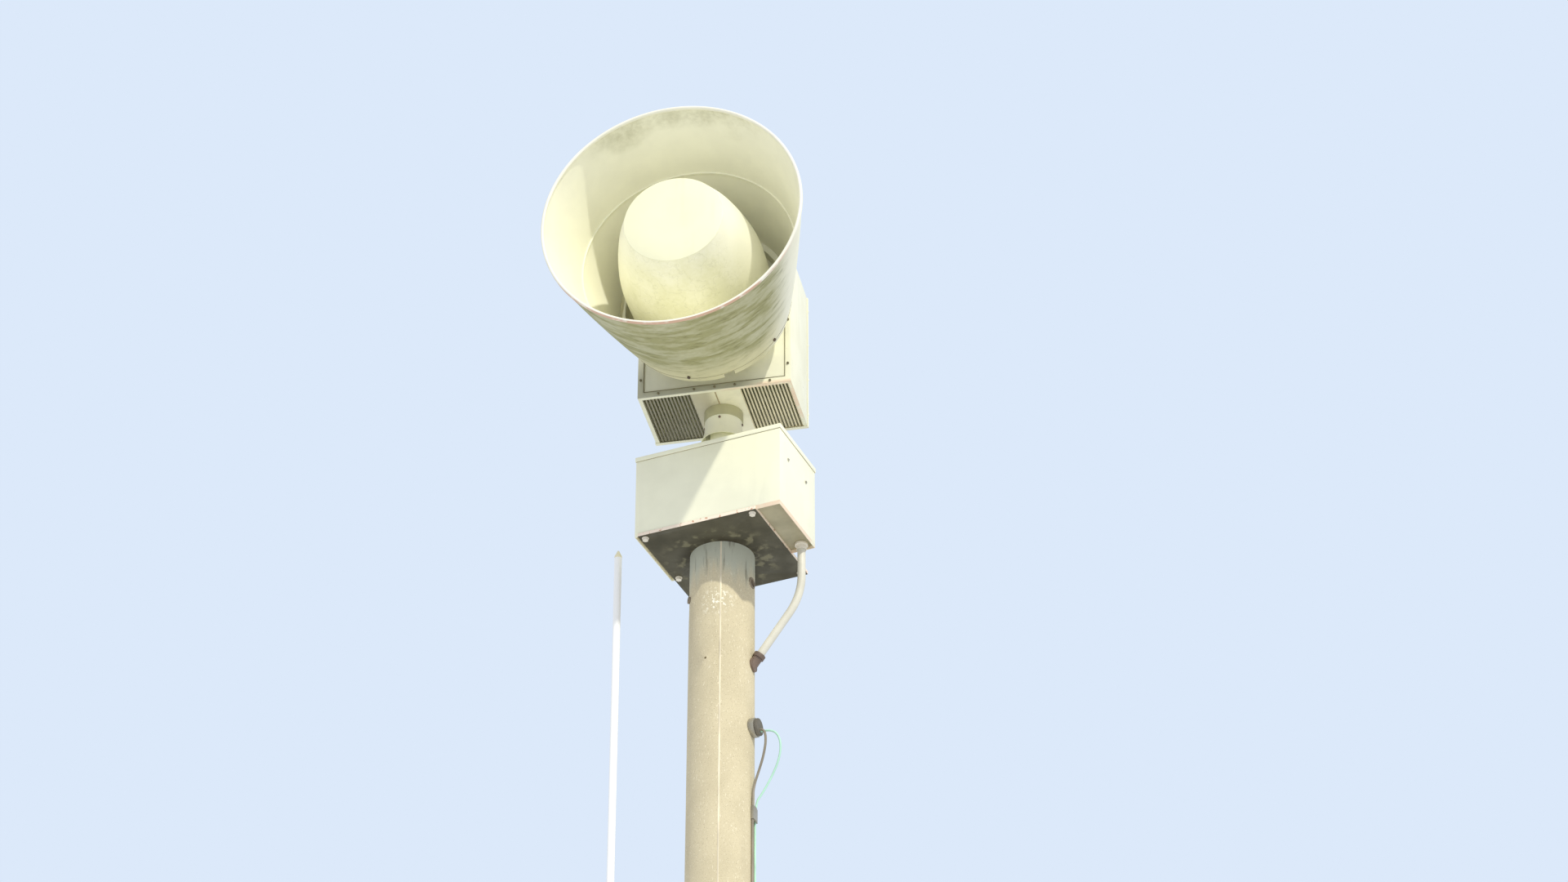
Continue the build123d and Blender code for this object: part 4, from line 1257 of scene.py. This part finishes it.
@dataclass
class Cabling(Assembly):
    """Conduit, gland, the two wires and their clips."""

    pole: Pole = field(default_factory=Pole)
    grey: Sheath = Sheath(0.0042, -1, -13.0, (
        (0.0, 0.159, 0.716), (0.1, 0.167, 0.757), (0.2, 0.158, 0.818), (0.4, 0.142, 0.872),
        (0.8, 0.124, 0.926)))
    green: Sheath = Sheath(0.0036, 1, 1.0, (
        (0.0, 0.180, 0.716), (0.1, 0.206, 0.742), (0.2, 0.213, 0.786), (0.3, 0.203, 0.838),
        (0.5, 0.178, 0.890), (0.8, 0.145, 0.944)))
    gland_bearing: float = -9.8
    gland_drop: float = 0.702
    gland_length: float = 0.029
    exit_drop: float = 0.716
    exit_apart: float = 0.006
    clip_drop: float = 1.029
    clip_reach: tuple[float, float] = (0.05, -0.1)
    midway: float = 4.0
    foot: float = 0.006
    off_pole: float = 0.0003

    def route(self, wire: Sheath) -> list[Place]:
        """Route of a wire from the gland to the ground.

        Args:
            wire: its size and course.

        Returns:
            The points of the wire's line.
        """
        turned = math.radians(self.gland_bearing + 90)
        across = Vector((math.cos(turned), math.sin(turned), 0)) * self.exit_apart * wire.side
        gland = self.pole.radius(POLE_TOP - self.gland_drop) + self.gland_length
        points = []
        for share, reach, drop in ((0.0, gland, self.exit_drop), *wire.bulge):
            angle = math.radians(self.gland_bearing + share * (wire.bearing - self.gland_bearing))
            point = Vector((reach * math.cos(angle), reach * math.sin(angle), POLE_TOP - drop))
            points.append(tuple(point + across * (1 - share)))
        heights = [POLE_TOP - self.clip_drop + reach for reach in self.clip_reach] + [self.midway, self.foot]
        return points + [self.pole.on_side(wire.bearing, z, wire.radius + self.off_pole) for z in heights]

    def build(self) -> None:
        """Build the wires and dress the fittings."""
        grey = Wire("grey_wire", self.route(self.grey), self.grey.radius)
        self.own(grey.build(), "grey", "grey_sheath", "grey_cable")
        green = Wire("green_wire", self.route(self.green), self.green.radius)
        self.own(green.build(), "green", "green_sheath", "green_earth_wire")
        self.keep("conduit", "conduit")
        self.soften("conduit_connector", "bolt", "zinc", 0.003)
        self.soften("pole_conduit_entry", "dark", "dark_fitting", 0.0015)
        self.soften("gland_body", "zinc", "zinc", 0.002)
        self.soften("gland_nut", "rubber", "dark_rubber", 0.003)
        self.soften("cable_clips", "zinc", "zinc", 0.001)


@dataclass
class Antenna(Assembly):
    """Rod antenna on its side arm."""

    def build(self) -> None:
        """Round the metal parts and dress the rod."""
        self.keep("antenna_rod", "white")
        self.soften("antenna_tip", "tip", "antenna_white", 0.0015)
        for node in ("antenna_ferrule", "antenna_arm", "antenna_clamps", "antenna_band"):
            self.soften(node, "zinc", "zinc")


@dataclass
class Studio:
    """Floor, light and camera."""

    camera_place: Place = (2.8844, -12.7865, 1.9965)
    camera_bearing: float = math.radians(11.784)
    camera_lift: float = math.radians(34.04)
    focal_length: float = 103.44
    sky: Colour = (220, 233, 250)
    fill: Colour = (238, 241, 252)
    fill_strength: float = 0.84
    sun_strength: float = 2.2
    sun_colour: Colour = (1.0, 0.97, 0.88)
    sun_spread: float = math.radians(1.5)
    sun_path: Place = (-0.487, 0.620, -0.616)
    ground: Colour = (226, 228, 230)
    ground_radius: float = 30.0
    ground_drop: float = 0.002

    def floor(self) -> None:
        """Pale round floor."""
        bpy.ops.object.select_all(action="DESELECT")
        bpy.ops.mesh.primitive_circle_add(vertices=96, radius=self.ground_radius, fill_type="NGON",
                                          location=(0, 0, -self.ground_drop))
        floor = bpy.context.object
        floor.name = "studio_floor"
        material = bpy.data.materials.new("floor_pale")
        material.use_nodes = True
        shader = material.node_tree.nodes["Principled BSDF"]
        shader.inputs["Base Color"].default_value = linear(*self.ground)
        shader.inputs["Roughness"].default_value = 0.9
        floor.data.materials.append(material)

    def lights(self) -> None:
        """Even pale surroundings, and a low sun from the front right."""
        world = bpy.data.worlds.new("studio")
        bpy.context.scene.world = world
        world.use_nodes = True
        world.node_tree.nodes.clear()
        graph = Graph(world.node_tree)
        path = graph.add("ShaderNodeLightPath").outputs
        seen = graph.work("MAXIMUM", path["Is Camera Ray"], path["Is Glossy Ray"])
        fill, back = (graph.add("ShaderNodeBackground", {"Color": linear(*colour), "Strength": strength})
                      for colour, strength in ((self.fill, self.fill_strength), (self.sky, 1.0)))
        both = graph.add("ShaderNodeMixShader", {0: seen, 1: fill.outputs[0], 2: back.outputs[0]})
        graph.add("ShaderNodeOutputWorld", {"Surface": both.outputs[0]})
        lamp = bpy.data.lights.new("key", "SUN")
        lamp.energy = self.sun_strength
        lamp.color = self.sun_colour
        lamp.angle = self.sun_spread
        linked("key", lamp).rotation_euler = Vector(self.sun_path).to_track_quat("-Z", "Y").to_euler()

    def camera(self) -> None:
        """Camera at the photograph's place."""
        data = bpy.data.cameras.new("view")
        data.lens = self.focal_length
        data.sensor_width = 36.0
        camera = linked("view", data)
        camera.location = self.camera_place
        level = math.cos(self.camera_lift)
        aim = Vector((-math.sin(self.camera_bearing) * level, math.cos(self.camera_bearing) * level,
                      math.sin(self.camera_lift)))
        camera.rotation_euler = aim.to_track_quat("-Z", "Y").to_euler()
        bpy.context.scene.camera = camera
        bpy.context.scene.view_settings.view_transform = "Standard"


def main() -> None:
    """Dress the frame."""
    logging.basicConfig(level=logging.INFO, format="%(message)s")
    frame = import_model()
    bpy.ops.object.select_all(action="DESELECT")
    palette = Palette()
    for kind in (Mast, BaseBox, Neck, Housing, Horn, Cabling, Antenna):
        LOG.info("assembly %s", kind.__name__)
        kind(frame, palette).build()
    studio = Studio()
    studio.floor()
    studio.lights()
    studio.camera()


if __name__ == "__main__":
    main()
